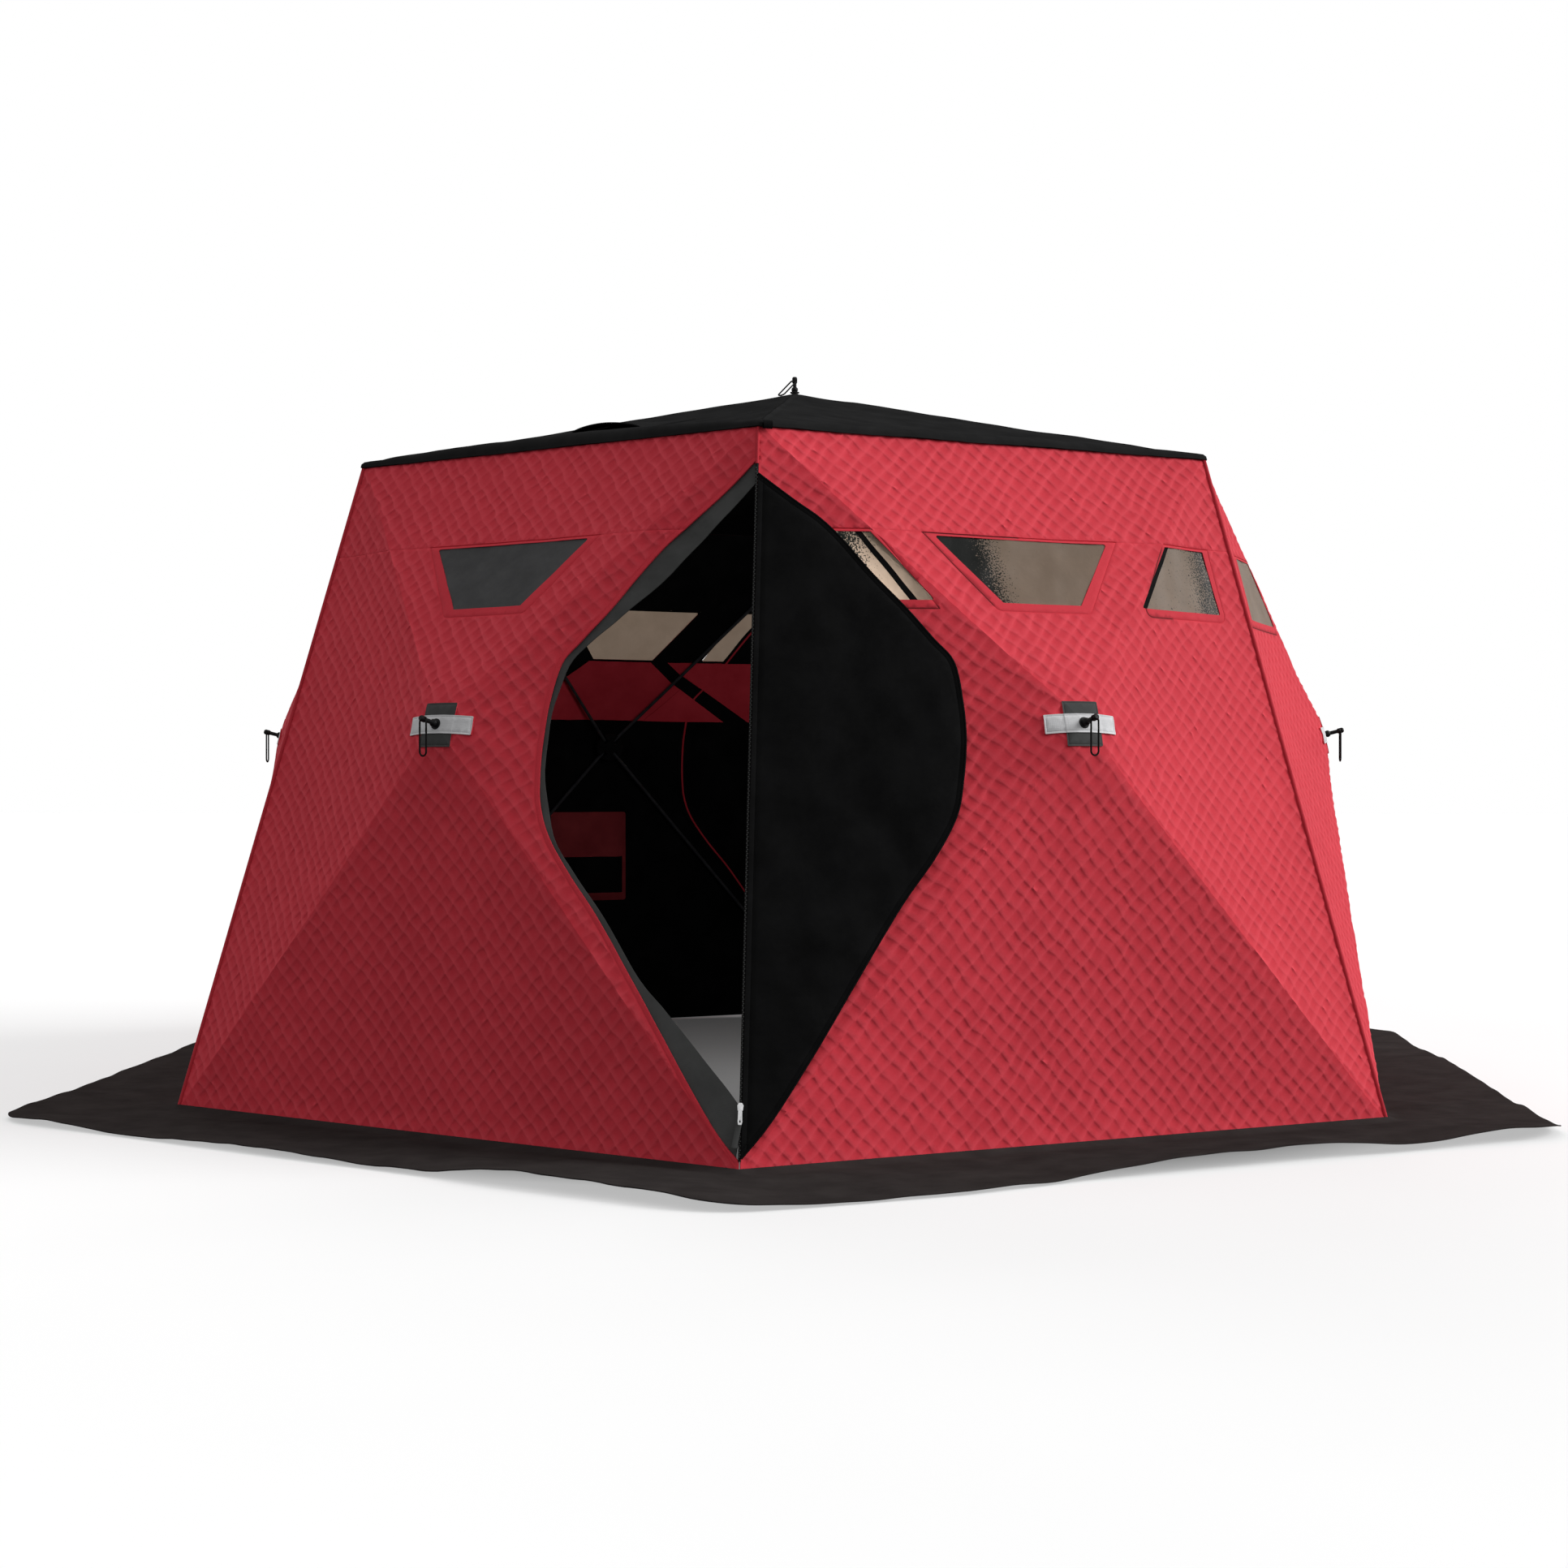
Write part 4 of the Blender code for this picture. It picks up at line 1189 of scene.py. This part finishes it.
def build_pocket(cloth):
    """A storage pocket inside the wall: a red flap above a dark pouch with a red hem."""
    facet = cloth.facet("bottom")
    x0, x1, z0, z1 = POCKET
    side_hem, hem, flap = 0.016, 0.029, z0 + 0.160
    outline = facet.lay(rounded([(x0, z0), (x1, z0), (x1, z1), (x0, z1)], [0.008] * 4, 3))
    outline = sampled(anticlockwise(outline), 0.008)
    pouch = anticlockwise(facet.lay([(x0 + side_hem, z0 + hem), (x1 - side_hem, z0 + hem),
                                     (x1 - side_hem, flap), (x0 + side_hem, flap)]))
    guides = [(sampled(offset(pouch, grow), 0.008), True) for grow in (0.0008, 0.0)]
    places = clear_of(filled(outline, 0.010, 0.004), guides, 0.003)
    flat, faces = triangulate(outline, [], guides, places)
    ripple = Waves(530, 0.10)

    def swell(spots):
        inner = np.clip(-signed(spots, outline) / 0.05, 0, 1)
        return 0.014 * np.sin(inner * pi / 2) + 0.002 * ripple(spots[:, 0], spots[:, 1]) * inner

    def surface(spots, depth, sign):
        z = cloth.smooth_height(facet, spots) - FABRIC - depth
        return over(spots, z - sign * swell(spots))

    def inner_index(middles):
        return np.where(inside(middles, pouch), 1, 0)

    def inner(spots):
        places = surface(spots, 0.0030, 1.0)
        places[:, 2] += np.where(signed(spots, pouch) < EDGE_SLACK, 0.0015, 0.0)
        return places

    piece = shell("pocket_" + cloth.wall, flat, faces, lambda s: surface(s, 0.0004, 0.6), inner,
                  0, 0, inner_index, 0.010, [red_pocket, black_lining], guides)
    piece.data.transform(cloth.matrix)
    cloth.attach(piece, facet)


def build_hanging_cover(cloth, name, places):
    """A cover, or the corner of one, which hangs over the edge of the back doorway."""
    facet = cloth.facet("left")
    outline = sampled(anticlockwise(facet.lay(places)), 0.010)
    flat, faces = triangulate(outline, [], [], filled(outline, 0.012, 0.005))
    ripple = Waves(540, 0.13)

    def surface(spots, depth):
        z = cloth.smooth_height(facet, spots) - HANGING_ROOM - depth
        return over(spots, z + 0.0015 * (ripple(spots[:, 0], spots[:, 1]) - 1))

    piece = shell(name, flat, faces, lambda s: surface(s, HANGING_DEPTHS[0]),
                  lambda s: surface(s, HANGING_DEPTHS[1]), 0, 0, 0, 0.014, [red_trim])
    piece.data.transform(cloth.matrix)
    cloth.attach(piece, facet)


for cloth in cloths:
    if cloth.wall in DOORWAYS:
        build_lining(cloth)
build_hanging_cover(cloths[3], "window_cover_back_left", HANGING_COVER)
build_hanging_cover(cloths[3], "window_cover_corner", CORNER_COVER)
build_back_door_piping(cloths[3])
build_pocket(cloths[3])


# ---------------------------------------------------------------- doors

def door_frame(number, side):
    """The door's frame when it is shut: z = 0 is the wall's outer face. And which way is in."""
    frame_ = facet_frame(number, side)
    inwards = -1 if frame_.col[2].to_3d().dot(frame_.translation) > 0 else 1
    return frame_, inwards


def exterior_angle():
    """From shut in the one wall round the outside to flat on the next."""
    left, right = facet_frame(0, 1), facet_frame(0, -1)
    return 2 * pi - left.col[1].to_3d().angle(right.col[1].to_3d())


def build_door(name, number, side, fold):
    """A leaf-shaped door: red quilt outside, black lining inside, folded outwards by this angle."""
    shut, inwards = door_frame(number, side)
    radial = corner(number, 1, 0)
    along = shut.col[0].to_3d()
    outwards = (radial - along * radial.dot(along)).normalized()
    hinge = corner(number, BASE_RADIUS, 0) + outwards * HINGE_OFFSET
    swing = (Matrix.Translation(hinge) @ Matrix.Rotation(side * fold, 4, along)
             @ Matrix.Translation(-hinge))
    edge = curve_through(DOOR_EDGE)
    outline = anticlockwise(sampled(edge, 0.009))
    hem = offset(outline, -DOOR_HEM)
    guides = [(sampled(offset(hem, grow), 0.009), True) for grow in (-0.0012, 0.0, 0.0012)]
    seed = 600 + 20 * number
    warp = [Waves(seed, 0.21), Waves(seed + 1, 0.21)]
    broad, fine = Waves(seed + 2, 0.46), Waves(seed + 3, 0.13)

    def quilt(x, y):
        p, q = diagonal(x, y)
        p = (p + 0.006 * warp[0](x, y)) / QUILT_PITCH
        q = (q + 0.006 * warp[1](x, y)) / QUILT_PITCH
        return dimple((p + 1e-4) % 1) * dimple((q + 1e-4) % 1)

    lines = np.array([(n + step) * QUILT_PITCH for n in range(-60, 60) for step in QUILT_STEPS])
    p, q = (grid.ravel() for grid in np.meshgrid(lines, lines))
    places = np.stack(diagonal(p, q), 1)
    places = places[inside(places, offset(outline, -0.004))]
    places = clear_of(places, guides, 0.0024)
    flat, faces = triangulate(outline, [], guides, places)

    def seam(spots):
        return groove(distance(spots, hem), DOOR_SEAM)

    def outer(spots):
        x, y = spots[:, 0], spots[:, 1]
        amount = ramp(0.001, 0.010, -signed(spots, hem))
        depth = 0.0006 + QUILT_DEPTH * amount * quilt(x, y) + seam(spots)
        return over(spots, depth * inwards)

    def inner(spots):
        x, y = spots[:, 0], spots[:, 1]
        free = ramp(0.0, 0.20, y) * ramp(0.0, 0.06, -signed(spots, outline))
        swell = free * (0.0045 * (1 + broad(x, y)) + 0.0015 * (1 + fine(x, y)))
        depth = FABRIC + swell - seam(spots)
        return over(spots, depth * inwards)

    piece = shell(name + "_leaf", flat, faces, outer, inner, 0, 1, 1, 0.016,
                  [red_quilt, black_lining], guides)
    if inwards > 0:
        piece.data.flip_normals()
    add_values(piece, "crest", np.zeros(len(piece.data.vertices)))
    piece.data.transform(swing @ shut)
    binding = [Vector((s, t, inwards * FABRIC * 0.6)) for s, t in sampled(edge, 0.012, False)]
    trim = tube(name + "_binding", [swing @ shut @ place for place in binding], BINDING_RADIUS,
                black_lining, 8)
    for item in (piece, trim):
        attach(item, name)
    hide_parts(name)


build_door("door_front", 0, 1, exterior_angle() - DOOR_STANDOFF)
build_door("door_back", 3, -1, 0.0)


# ---------------------------------------------------------------- corners: welts, zip tape, puller

def corner_path(number, low, high, out, spacing=0.02):
    """Points up a corner line, this far outside it."""
    foot, head = corner(number, BASE_RADIUS, 0), corner(number, EAVE_RADIUS, EAVE_HEIGHT)
    along = (head - foot).normalized()
    radial = corner(number, 1, 0)
    outwards = (radial - along * radial.dot(along)).normalized()
    count = int((high - low) / spacing)
    return [foot + along * (low + (high - low) * i / count) + outwards * out
            for i in range(count + 1)]


for number, name in enumerate(CORNERS):
    low, out, radius = FRONT_WELT if name == "front" else WELT
    welt = tube("welt_" + name, corner_path(number, low, WELT_TOP, out), radius, red_trim, 10)
    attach(welt, "root")


def build_zip_tape():
    """Zip tape with its teeth up the front corner, beside the door's hinge."""
    tape = tube("zip_tape_front", corner_path(0, *TAPE_ENDS, TAPE_OUT, 0.03), TAPE_RADIUS, zip_tape)
    path_ = corner_path(0, *TEETH_ENDS, TEETH_OUT, TOOTH_PITCH)
    shape = bmesh.new()
    along = (path_[1] - path_[0]).normalized()
    across = along.cross(corner(0, 1, 0)).normalized()
    turned = Matrix((along, across, along.cross(across))).transposed().to_4x4()
    for index, place in enumerate(path_):
        shift = across * (TOOTH_SHIFT if index % 2 else -TOOTH_SHIFT)
        size = Matrix.Diagonal((*TOOTH_SIZE, 1))
        bmesh.ops.create_cube(shape, size=1, matrix=Matrix.Translation(place + shift) @ turned @ size)
    mesh = bpy.data.meshes.new("zip_teeth_front")
    shape.to_mesh(mesh)
    shape.free()
    teeth = link("zip_teeth_front", mesh, [zip_teeth])
    for item in (tape, teeth):
        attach(item, "door_front")


build_zip_tape()


def plate(name, outline, thickness, matrix, material, hole=None):
    """A small flat part with eased edges."""
    bevel = 0.0004
    curve = bpy.data.curves.new(name, "CURVE")
    curve.dimensions, curve.fill_mode = "2D", "BOTH"
    curve.extrude, curve.bevel_depth, curve.bevel_resolution = thickness / 2 - bevel, bevel, 1
    for line in [outline] + ([hole] if hole else []):
        spline = curve.splines.new("POLY")
        spline.points.add(len(line) - 1)
        for point, place in zip(spline.points, line):
            point.co = (place[0], place[1], 0, 1)
        spline.use_cyclic_u = True
    holder = bpy.data.objects.new(name, curve)
    bpy.context.scene.collection.objects.link(holder)
    evaluated = holder.evaluated_get(bpy.context.evaluated_depsgraph_get())
    mesh = bpy.data.meshes.new_from_object(evaluated)
    bpy.data.objects.remove(holder, do_unlink=True)
    shape = bmesh.new()
    shape.from_mesh(mesh)
    bmesh.ops.remove_doubles(shape, verts=shape.verts, dist=0.00001)
    shape.to_mesh(mesh)
    shape.free()
    mesh.materials.clear()
    layer = mesh.uv_layers.new(name="flat")
    for loop in mesh.loops:
        layer.data[loop.index].uv = mesh.vertices[loop.vertex_index].co.to_2d()
    mesh.transform(matrix)
    mesh.shade_smooth()
    mesh.set_sharp_from_angle(angle=radians(35))
    return link(name, mesh, [material])


def build_puller():
    """The zip's slider, its metal puller and a webbing tab at the foot of the front corner."""
    low, high = corner_path(0, 0.150, 0.190, 0.006, 0.04)
    along = (high - low).normalized()
    across = along.cross(corner(0, 1, 0)).normalized()
    axes = Matrix((across, along, across.cross(along))).transposed().to_4x4()
    slider = [(-0.0055, -0.008), (0.0055, -0.008), (0.0065, 0.004), (0.003, 0.009),
              (-0.003, 0.009), (-0.0065, 0.004)]
    body = plate("zip_slider", rounded(slider, [0.0015] * 6, 3), 0.0060,
                 Matrix.Translation(low) @ axes, zip_metal)
    pull = [(-0.0035, -0.040), (0.0035, -0.040), (0.0048, -0.034), (0.0040, -0.004),
            (0.0028, 0.000), (-0.0028, 0.000), (-0.0040, -0.004), (-0.0048, -0.034)]
    hole = [(0.0024 * cos(a), -0.033 + 0.0030 * sin(a)) for a in np.linspace(0, 2 * pi, 17)[:-1]]
    out = axes.col[2].to_3d() * (1 if axes.col[2].to_3d().y < 0 else -1)
    puller = plate("zip_puller", rounded(pull, [0.001] * 8, 2), 0.0018,
                   Matrix.Translation(low + out * 0.0050) @ axes, zip_metal, hole=hole)
    tab = [(-0.0060, -0.034), (0.0060, -0.034), (0.0060, 0.030), (-0.0060, 0.030)]
    place = corner_path(0, 0.092, 0.132, 0.0085, 0.04)[0] + across * -0.006
    webbing = plate("zip_tab", rounded(tab, [0.003, 0.003, 0.001, 0.001], 3), 0.0026,
                    Matrix.Translation(place) @ axes @ Matrix.Rotation(radians(-10), 4, "Z"), grey_trim)
    for item, slot in ((body, "zip_metal"), (puller, "zip_metal"), (webbing, "grey_trim")):
        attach(item, "door_front")


build_puller()

# ---------------------------------------------------------------- roof
ROOF_SLOPE = (PEAK_HEIGHT - EAVE_HEIGHT) / EAVE_APOTHEM


class RoofPanel:
    """One of the roof's six triangles, in flat places (x along its eave, y out from the peak)."""

    def __init__(self, number):
        self.number = number
        self.matrix = turn(number) @ Matrix.Translation((0, 0, PEAK_HEIGHT))
        half = EAVE_RADIUS / 2
        self.ends = [(-half, -EAVE_APOTHEM), (half, -EAVE_APOTHEM)]
        self.tri = self.ends + [(0.0, 0.0)]

    def attach(self, piece):
        """Bakes the piece's place into its mesh."""
        bend(piece)

    def world(self, spots):
        angle = pi / SIDES + self.number * 2 * pi / SIDES
        c, s = cos(angle), sin(angle)
        return c * spots[:, 0] - s * spots[:, 1], s * spots[:, 0] + c * spots[:, 1]

    def height(self, spots):
        """Height of the roof's cloth over flat places, from the peak."""
        x, y = spots[:, 0], spots[:, 1]
        b0 = 1 + y / EAVE_APOTHEM
        share = -y / EAVE_APOTHEM
        b1 = np.clip(0.5 * share - x / EAVE_RADIUS, 0, 1)
        b2 = np.clip(0.5 * share + x / EAVE_RADIUS, 0, 1)
        X, Y = self.world(spots)
        eave = ramp(0.0, 0.08, EAVE_APOTHEM + y)
        hang = -ROOF_SAG * CUBIC_PEAK * np.clip(b0, 0, 1) * b1 * b2
        wander = 0.0018 * (roof_waves[0](X, Y) - 1) + 0.0008 * (roof_waves[1](X, Y) - 1)
        ridge = np.minimum(b1, b2) * EAVE_RADIUS * 0.866
        seam = groove(ridge, (0.0016, 0.004)) - groove(ridge - 0.011, (0.0010, 0.002))
        peak = ramp(0.02, 0.12, np.hypot(x, y))
        return ROOF_SLOPE * y + hang + (wander * eave + seam) * peak

    def build(self):
        angles = [atan2(y, x) for x, y in self.ends]
        arc = [(HUB_HOLE_RADIUS * cos(angle), HUB_HOLE_RADIUS * sin(angle))
               for angle in np.linspace(angles[1], angles[0], 7)]
        outline = (sampled(self.ends, ROOF_STEP, False)[:-1]
                   + sampled([self.ends[1], arc[0]], ROOF_STEP, False)[:-1]
                   + arc[:-1] + sampled([arc[-1], self.ends[0]], ROOF_STEP, False)[:-1])
        guides = []
        for inset in (0.003, 0.007, 0.011, 0.015):
            a, b = np.array(self.tri[2]), np.array(self.tri[0])
            for start, end, side in ((a, b, 1), (a, np.array(self.tri[1]), -1)):
                along = (end - start) / np.linalg.norm(end - start)
                normal = np.array([-along[1], along[0]]) * side
                line = sampled([tuple(start + along * 0.05 + normal * inset),
                                tuple(end - along * 0.02 + normal * inset)], ROOF_STEP, False)
                guides.append(([p for p in line if inside(np.array([p]), self.tri)], False))
        places = filled(self.tri, ROOF_STEP, 0.006)
        places = places[np.hypot(places[:, 0], places[:, 1]) > HUB_HOLE_RADIUS + 0.008]
        places = clear_of(places, guides, 0.004)
        flat, faces = triangulate(outline, [], guides, places)

        def front(spots):
            return over(spots, self.height(spots))

        def back(spots):
            return front(spots) - (0, 0, FABRIC)

        piece = shell(f"roof_{WALLS[self.number]}", flat, faces, front, back, 0, 0, 1, 0.030,
                      [roof_fabric, black_lining])
        piece.data.transform(self.matrix)
        self.attach(piece)
        if self.number == 0:
            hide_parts("roof")


roof_waves = [Waves(700, 0.42), Waves(701, 0.15)]
for number in range(SIDES):
    RoofPanel(number).build()

EAVE_PUFF = {5: 1.0}          # walls whose eave rolls over more fully
EAVE_PROFILE = ((-0.090, 0.0246, 0.0), (-0.062, 0.0180, 0.010), (-0.036, 0.0130, 0.017),
                (-0.014, 0.0085, 0.015), (0.001, 0.0045, 0.008), (0.0085, -0.0020, 0.002),
                (0.0105, -0.0110, 0.0), (0.0072, -0.0115, 0.0), (0.0030, -0.0040, 0.0),
                (-0.012, 0.0012, 0.0), (-0.050, 0.0108, 0.0), (-0.089, 0.0210, 0.0))


def build_eave():
    """The roof's edge, rolled over the tops of the walls. Profile: (outwards, up, extra puff)."""
    waves = [Waves(710, 0.30), Waves(711, 0.09)]
    verts, uv, faces, count, stations = [], [], [], len(EAVE_PROFILE), 54
    for side in range(SIDES):
        for station in range(stations):
            share = station / stations
            puff = EAVE_PUFF.get(side, 0.30) * sin(pi * min(1, max(0, share * 1.08 - 0.04))) ** 0.5
            at = corner(side, EAVE_RADIUS, 0).lerp(corner(side + 1, EAVE_RADIUS, 0), share)
            for index, (out, up, extra) in enumerate(EAVE_PROFILE):
                radius = (EAVE_APOTHEM + out) / cos(pi / SIDES)
                place = corner(side, radius, 0).lerp(corner(side + 1, radius, 0), share)
                loose = 0.0012 * waves[0](at.x, at.y) + 0.0007 * waves[1](at.x, at.y)
                ease = 1.0 if 0 < index < 7 else 0.0
                place.z = EAVE_HEIGHT + up + extra * puff + float(loose) * ease
                verts.append(tuple(place))
                uv.append((0.012 * index, (side + share) * EAVE_RADIUS))
    rings = SIDES * stations
    for ring in range(rings):
        for index in range(count):
            a, b = ring * count, ((ring + 1) % rings) * count
            faces.append((a + index, b + index, b + (index + 1) % count, a + (index + 1) % count))
    mesh = mesh_from("roof_eave", verts, [face[::-1] for face in faces], uv=uv)
    eave = link("roof_eave", mesh, [roof_fabric])
    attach(eave, "root")


build_eave()


def build_corner_tab():
    """A small folded loop of webbing under the eave at the front corner."""
    here = corner(0, EAVE_RADIUS + 0.010, EAVE_HEIGHT - 0.002)
    along = (corner(1, 1, 0) - corner(0, 1, 0)).normalized()
    out = Vector((along.y, -along.x, 0))
    line = [(0.0, 0.006), (0.005, 0.005), (0.009, 0.000), (0.009, -0.010), (0.006, -0.015),
            (0.003, -0.012), (0.002, -0.002)]
    path_ = [here + along * 0.022 + out * (0.004 + o) + Vector((0, 0, u))
             for o, u in curve_through(line, 3)]
    verts = [tuple(place + along * 0.012 * side + out * 0.0009 * thick) for place in path_
             for side, thick in ((-1, -1), (1, -1), (1, 1), (-1, 1))]
    faces = side_faces(len(path_), 4) + [(3, 2, 1, 0), tuple(range(len(verts) - 4, len(verts)))]
    uv = [(v[0] + v[1], v[2]) for v in verts]
    tab = link("corner_tab_front", mesh_from("tab", verts, faces, uv=uv), [black_lining])
    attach(tab, "root")


build_corner_tab()

HOOD = ((-0.288, -0.700), (-0.022, -0.722), (0.028, -0.541), (-0.270, -0.500))
HOOD_RISE = 0.022


def build_hood():
    """The arched vent hood on the front left of the roof, open towards the eave."""
    panel = RoofPanel(5)
    across, deep = 33, 17
    verts, uv = [], []
    left, right, far_right, far_left = (np.array(p) for p in HOOD)
    for layer in (0.0022, 0.0):
        for row in range(deep):
            back_ = row / (deep - 1)
            for column in range(across):
                share = column / (across - 1)
                low = left * (1 - share) + right * share
                high = far_left * (1 - share) + far_right * share
                spot = low * (1 - back_) + high * back_
                arch = max(0.0, 1 - (2 * share - 1) ** 2) ** 0.75
                rise = HOOD_RISE * arch * (1 - back_) ** 1.3
                z = float(panel.height(spot[None])[0]) + rise + layer + 0.0006
                verts.append((spot[0], spot[1] - 0.010 * arch * (1 - back_), z))
                uv.append((spot[0], spot[1]))
    size, faces = across * deep, []
    for row in range(deep - 1):
        for column in range(across - 1):
            a = row * across + column
            quad = (a, a + 1, a + across + 1, a + across)
            faces += [quad, tuple(i + size for i in quad[::-1])]
    edge = (list(range(across)) + [row * across + across - 1 for row in range(1, deep)]
            + [(deep - 1) * across + column for column in range(across - 2, -1, -1)]
            + [row * across for row in range(deep - 2, 0, -1)])
    for a, b in zip(edge, edge[1:] + edge[:1]):
        faces.append((b, a, a + size, b + size))
    mesh = mesh_from("roof_vent_hood", verts, faces, uv=uv)
    hood = link("roof_vent_hood", mesh, [roof_fabric])
    hood.data.transform(panel.matrix)
    panel.attach(hood)
    lip = [Vector(verts[column]) + Vector((0, -0.001, -0.001)) for column in range(across)]
    binding = tube("roof_vent_binding", [panel.matrix @ p for p in lip], BINDING_RADIUS,
                   black_lining, 8)
    panel.attach(binding)


build_hood()

# ---------------------------------------------------------------- skirt
# Degrees round from +X, and how far the skirt's free edge is off the ice there
SKIRT_LIFT = ((-180, 0.012), (-165, 0.004), (-150, 0.004), (-146, 0.011), (-139, 0.002),
              (-128, 0.010), (-117, 0.004), (-110, 0.008), (-105, 0.029), (-97, 0.031),
              (-92, 0.021), (-88, 0.005), (-82, 0.001), (-70, 0.003), (-60, 0.029), (-52, 0.034),
              (-47, 0.032), (-42, 0.012), (-34, 0.030), (-30, 0.022), (-27, 0.004), (-10, 0.003),
              (5, 0.016), (20, 0.003), (40, 0.018), (62, 0.004), (85, 0.022), (100, 0.003),
              (122, 0.015), (140, 0.002), (160, 0.020), (180, 0.012))
SKIRT_REACH = ((-180, 0.0), (-92, 0.0), (-84, 0.025), (-76, 0.035), (-68, 0.0), (180, 0.0))


def build_skirt():
    """The snow skirt: a strip sewn to the walls' hems that lies in shallow waves on the ice."""
    outer_radius = BASE_RADIUS + SKIRT_WIDTH / cos(pi / SIDES)
    outline = rounded([corner(n, outer_radius, 0).to_2d() for n in range(SIDES)],
                      [SKIRT_ROUNDING] * SIDES, 10)
    edge = np.array(outline)
    around, rows = 720, 18
    folds, fine = Waves(800, 0.34), Waves(801, 0.12)
    phis = np.arange(around) * 360 / around - 180
    side = np.radians((phis + 90) % 60 - 30)
    inner = BASE_APOTHEM / np.cos(side)
    direction = np.stack([np.cos(np.radians(phis)), np.sin(np.radians(phis))], 1)
    # the outline is straight between its points, so its distance is taken along the chord
    outer = np.zeros(around)
    for a, b in zip(edge, np.roll(edge, -1, 0)):
        cross = direction[:, 0] * (b - a)[1] - direction[:, 1] * (b - a)[0]
        with np.errstate(divide="ignore", invalid="ignore"):
            t = (a[0] * (b - a)[1] - a[1] * (b - a)[0]) / cross
            share = (a[0] * direction[:, 1] - a[1] * direction[:, 0]) / cross
        hit = (t > 0) & (share >= -1e-9) & (share <= 1 + 1e-9)
        outer = np.where(hit, np.maximum(outer, t), outer)
    lift = np.interp(phis, *np.array(SKIRT_LIFT).T)
    kernel = np.hanning(13) / np.hanning(13).sum()
    lift = np.convolve(np.concatenate([lift[-6:], lift, lift[:6]]), kernel, "valid")
    reach = np.interp(phis, *np.array(SKIRT_REACH).T)
    verts, uv = [], []
    for layer in (0.0028, 0.0):
        for row in range(rows):
            share = row / (rows - 1)
            radius = inner + 0.004 + (outer + reach - inner - 0.004) * share
            x, y = direction[:, 0] * radius, direction[:, 1] * radius
            rough = 0.0030 * (1 + folds(x, y)) + 0.0012 * (1 + fine(x, y))
            z = layer + 0.0004 + lift * share ** 1.5 + rough * min(1.0, share * 4)
            z = z + 0.011 * np.exp(-(share / 0.035) ** 2)
            verts += list(zip(x, y, z))
            uv += list(zip(x, y))
    size, faces = around * rows, []
    for row in range(rows - 1):
        for step in range(around):
            a, b = row * around + step, row * around + (step + 1) % around
            quad = (a, a + around, b + around, b)
            faces += [quad, tuple(i + size for i in quad[::-1])]
    for row, flip in ((0, False), (rows - 1, True)):
        for step in range(around):
            a, b = row * around + step, row * around + (step + 1) % around
            quad = (a, b, b + size, a + size)
            faces.append(quad[::-1] if flip else quad)
    mesh = mesh_from("snow_skirt", [tuple(map(float, v)) for v in verts], faces, uv=uv)
    skirt = link("snow_skirt", mesh, [skirt_fabric])
    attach(skirt, "root")
    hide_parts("skirt")


build_skirt()


# ---------------------------------------------------------------- pull loops

def build_loop(body, hub_matrix, tip, hang, length):
    """A cord through the hub's eye: out of one end of the eye, round the loop and back in."""
    round_, half = LOOP_BEND, LOOP_HALF_WIDTH
    arc = [(half - round_ + round_ * sin(a), -round_ + round_ * cos(a))
           for a in np.linspace(0, pi / 2, 7)]
    low = [(half * cos(a), half - length - half * sin(a)) for a in np.linspace(0, pi, 15)]
    down = arc + [(half, -length * share) for share in (0.3, 0.6)]
    line = down + low + [(-x, y) for x, y in down[::-1]]
    matrix = (hub_matrix @ Matrix.Translation((0, 0, tip - EYE_DROP)) @ Matrix.Rotation(hang, 4, "X"))
    curve = bpy.data.curves.new("cord_" + body, "CURVE")
    curve.dimensions, curve.bevel_depth, curve.bevel_resolution = "3D", CORD_RADIUS, 3
    curve.use_fill_caps = True
    spline = curve.splines.new("POLY")
    spline.points.add(len(line) - 1)
    for point, (x, y) in zip(spline.points, line):
        point.co = (*(matrix @ Vector((x, y, 0))), 1)
    item = bpy.data.objects.new("cord_" + body, curve)
    curve.materials.append(cord_black)
    bpy.context.scene.collection.objects.link(item)
    places = [matrix @ Vector((x, y, 0)) for x, y in line]
    real = sum((b - a).length for a, b in zip(places, places[1:]))
    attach(item, body)
    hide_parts(body)
    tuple(places[0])


hang = atan2(OUTWARD.z, SLOPE.z)
for number, wall in enumerate(WALLS):
    build_loop("pull_loop_" + wall, turn(number) @ WALL_FRAME, TIP_HEIGHT, hang, LOOP_LENGTH)
ROOF_FRAME = Matrix.Translation((0, 0, PEAK_HEIGHT)) @ Matrix.Rotation(radians(-30), 4, "Z")
build_loop("pull_loop_roof", ROOF_FRAME, ROOF_TIP_HEIGHT, ROOF_LOOP_DROP, ROOF_LOOP_LENGTH)

# ---------------------------------------------------------------- finish
NODE_MATERIALS = {"hub": hub_plastic, "pole": pole_rod, "pull": cord_black, "door": black_lining,
                  "skirt": skirt_fabric}
for name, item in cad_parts.items():
    for place in item.material_slots:
        place.material = NODE_MATERIALS.get(name.split("_")[0], roof_fabric)
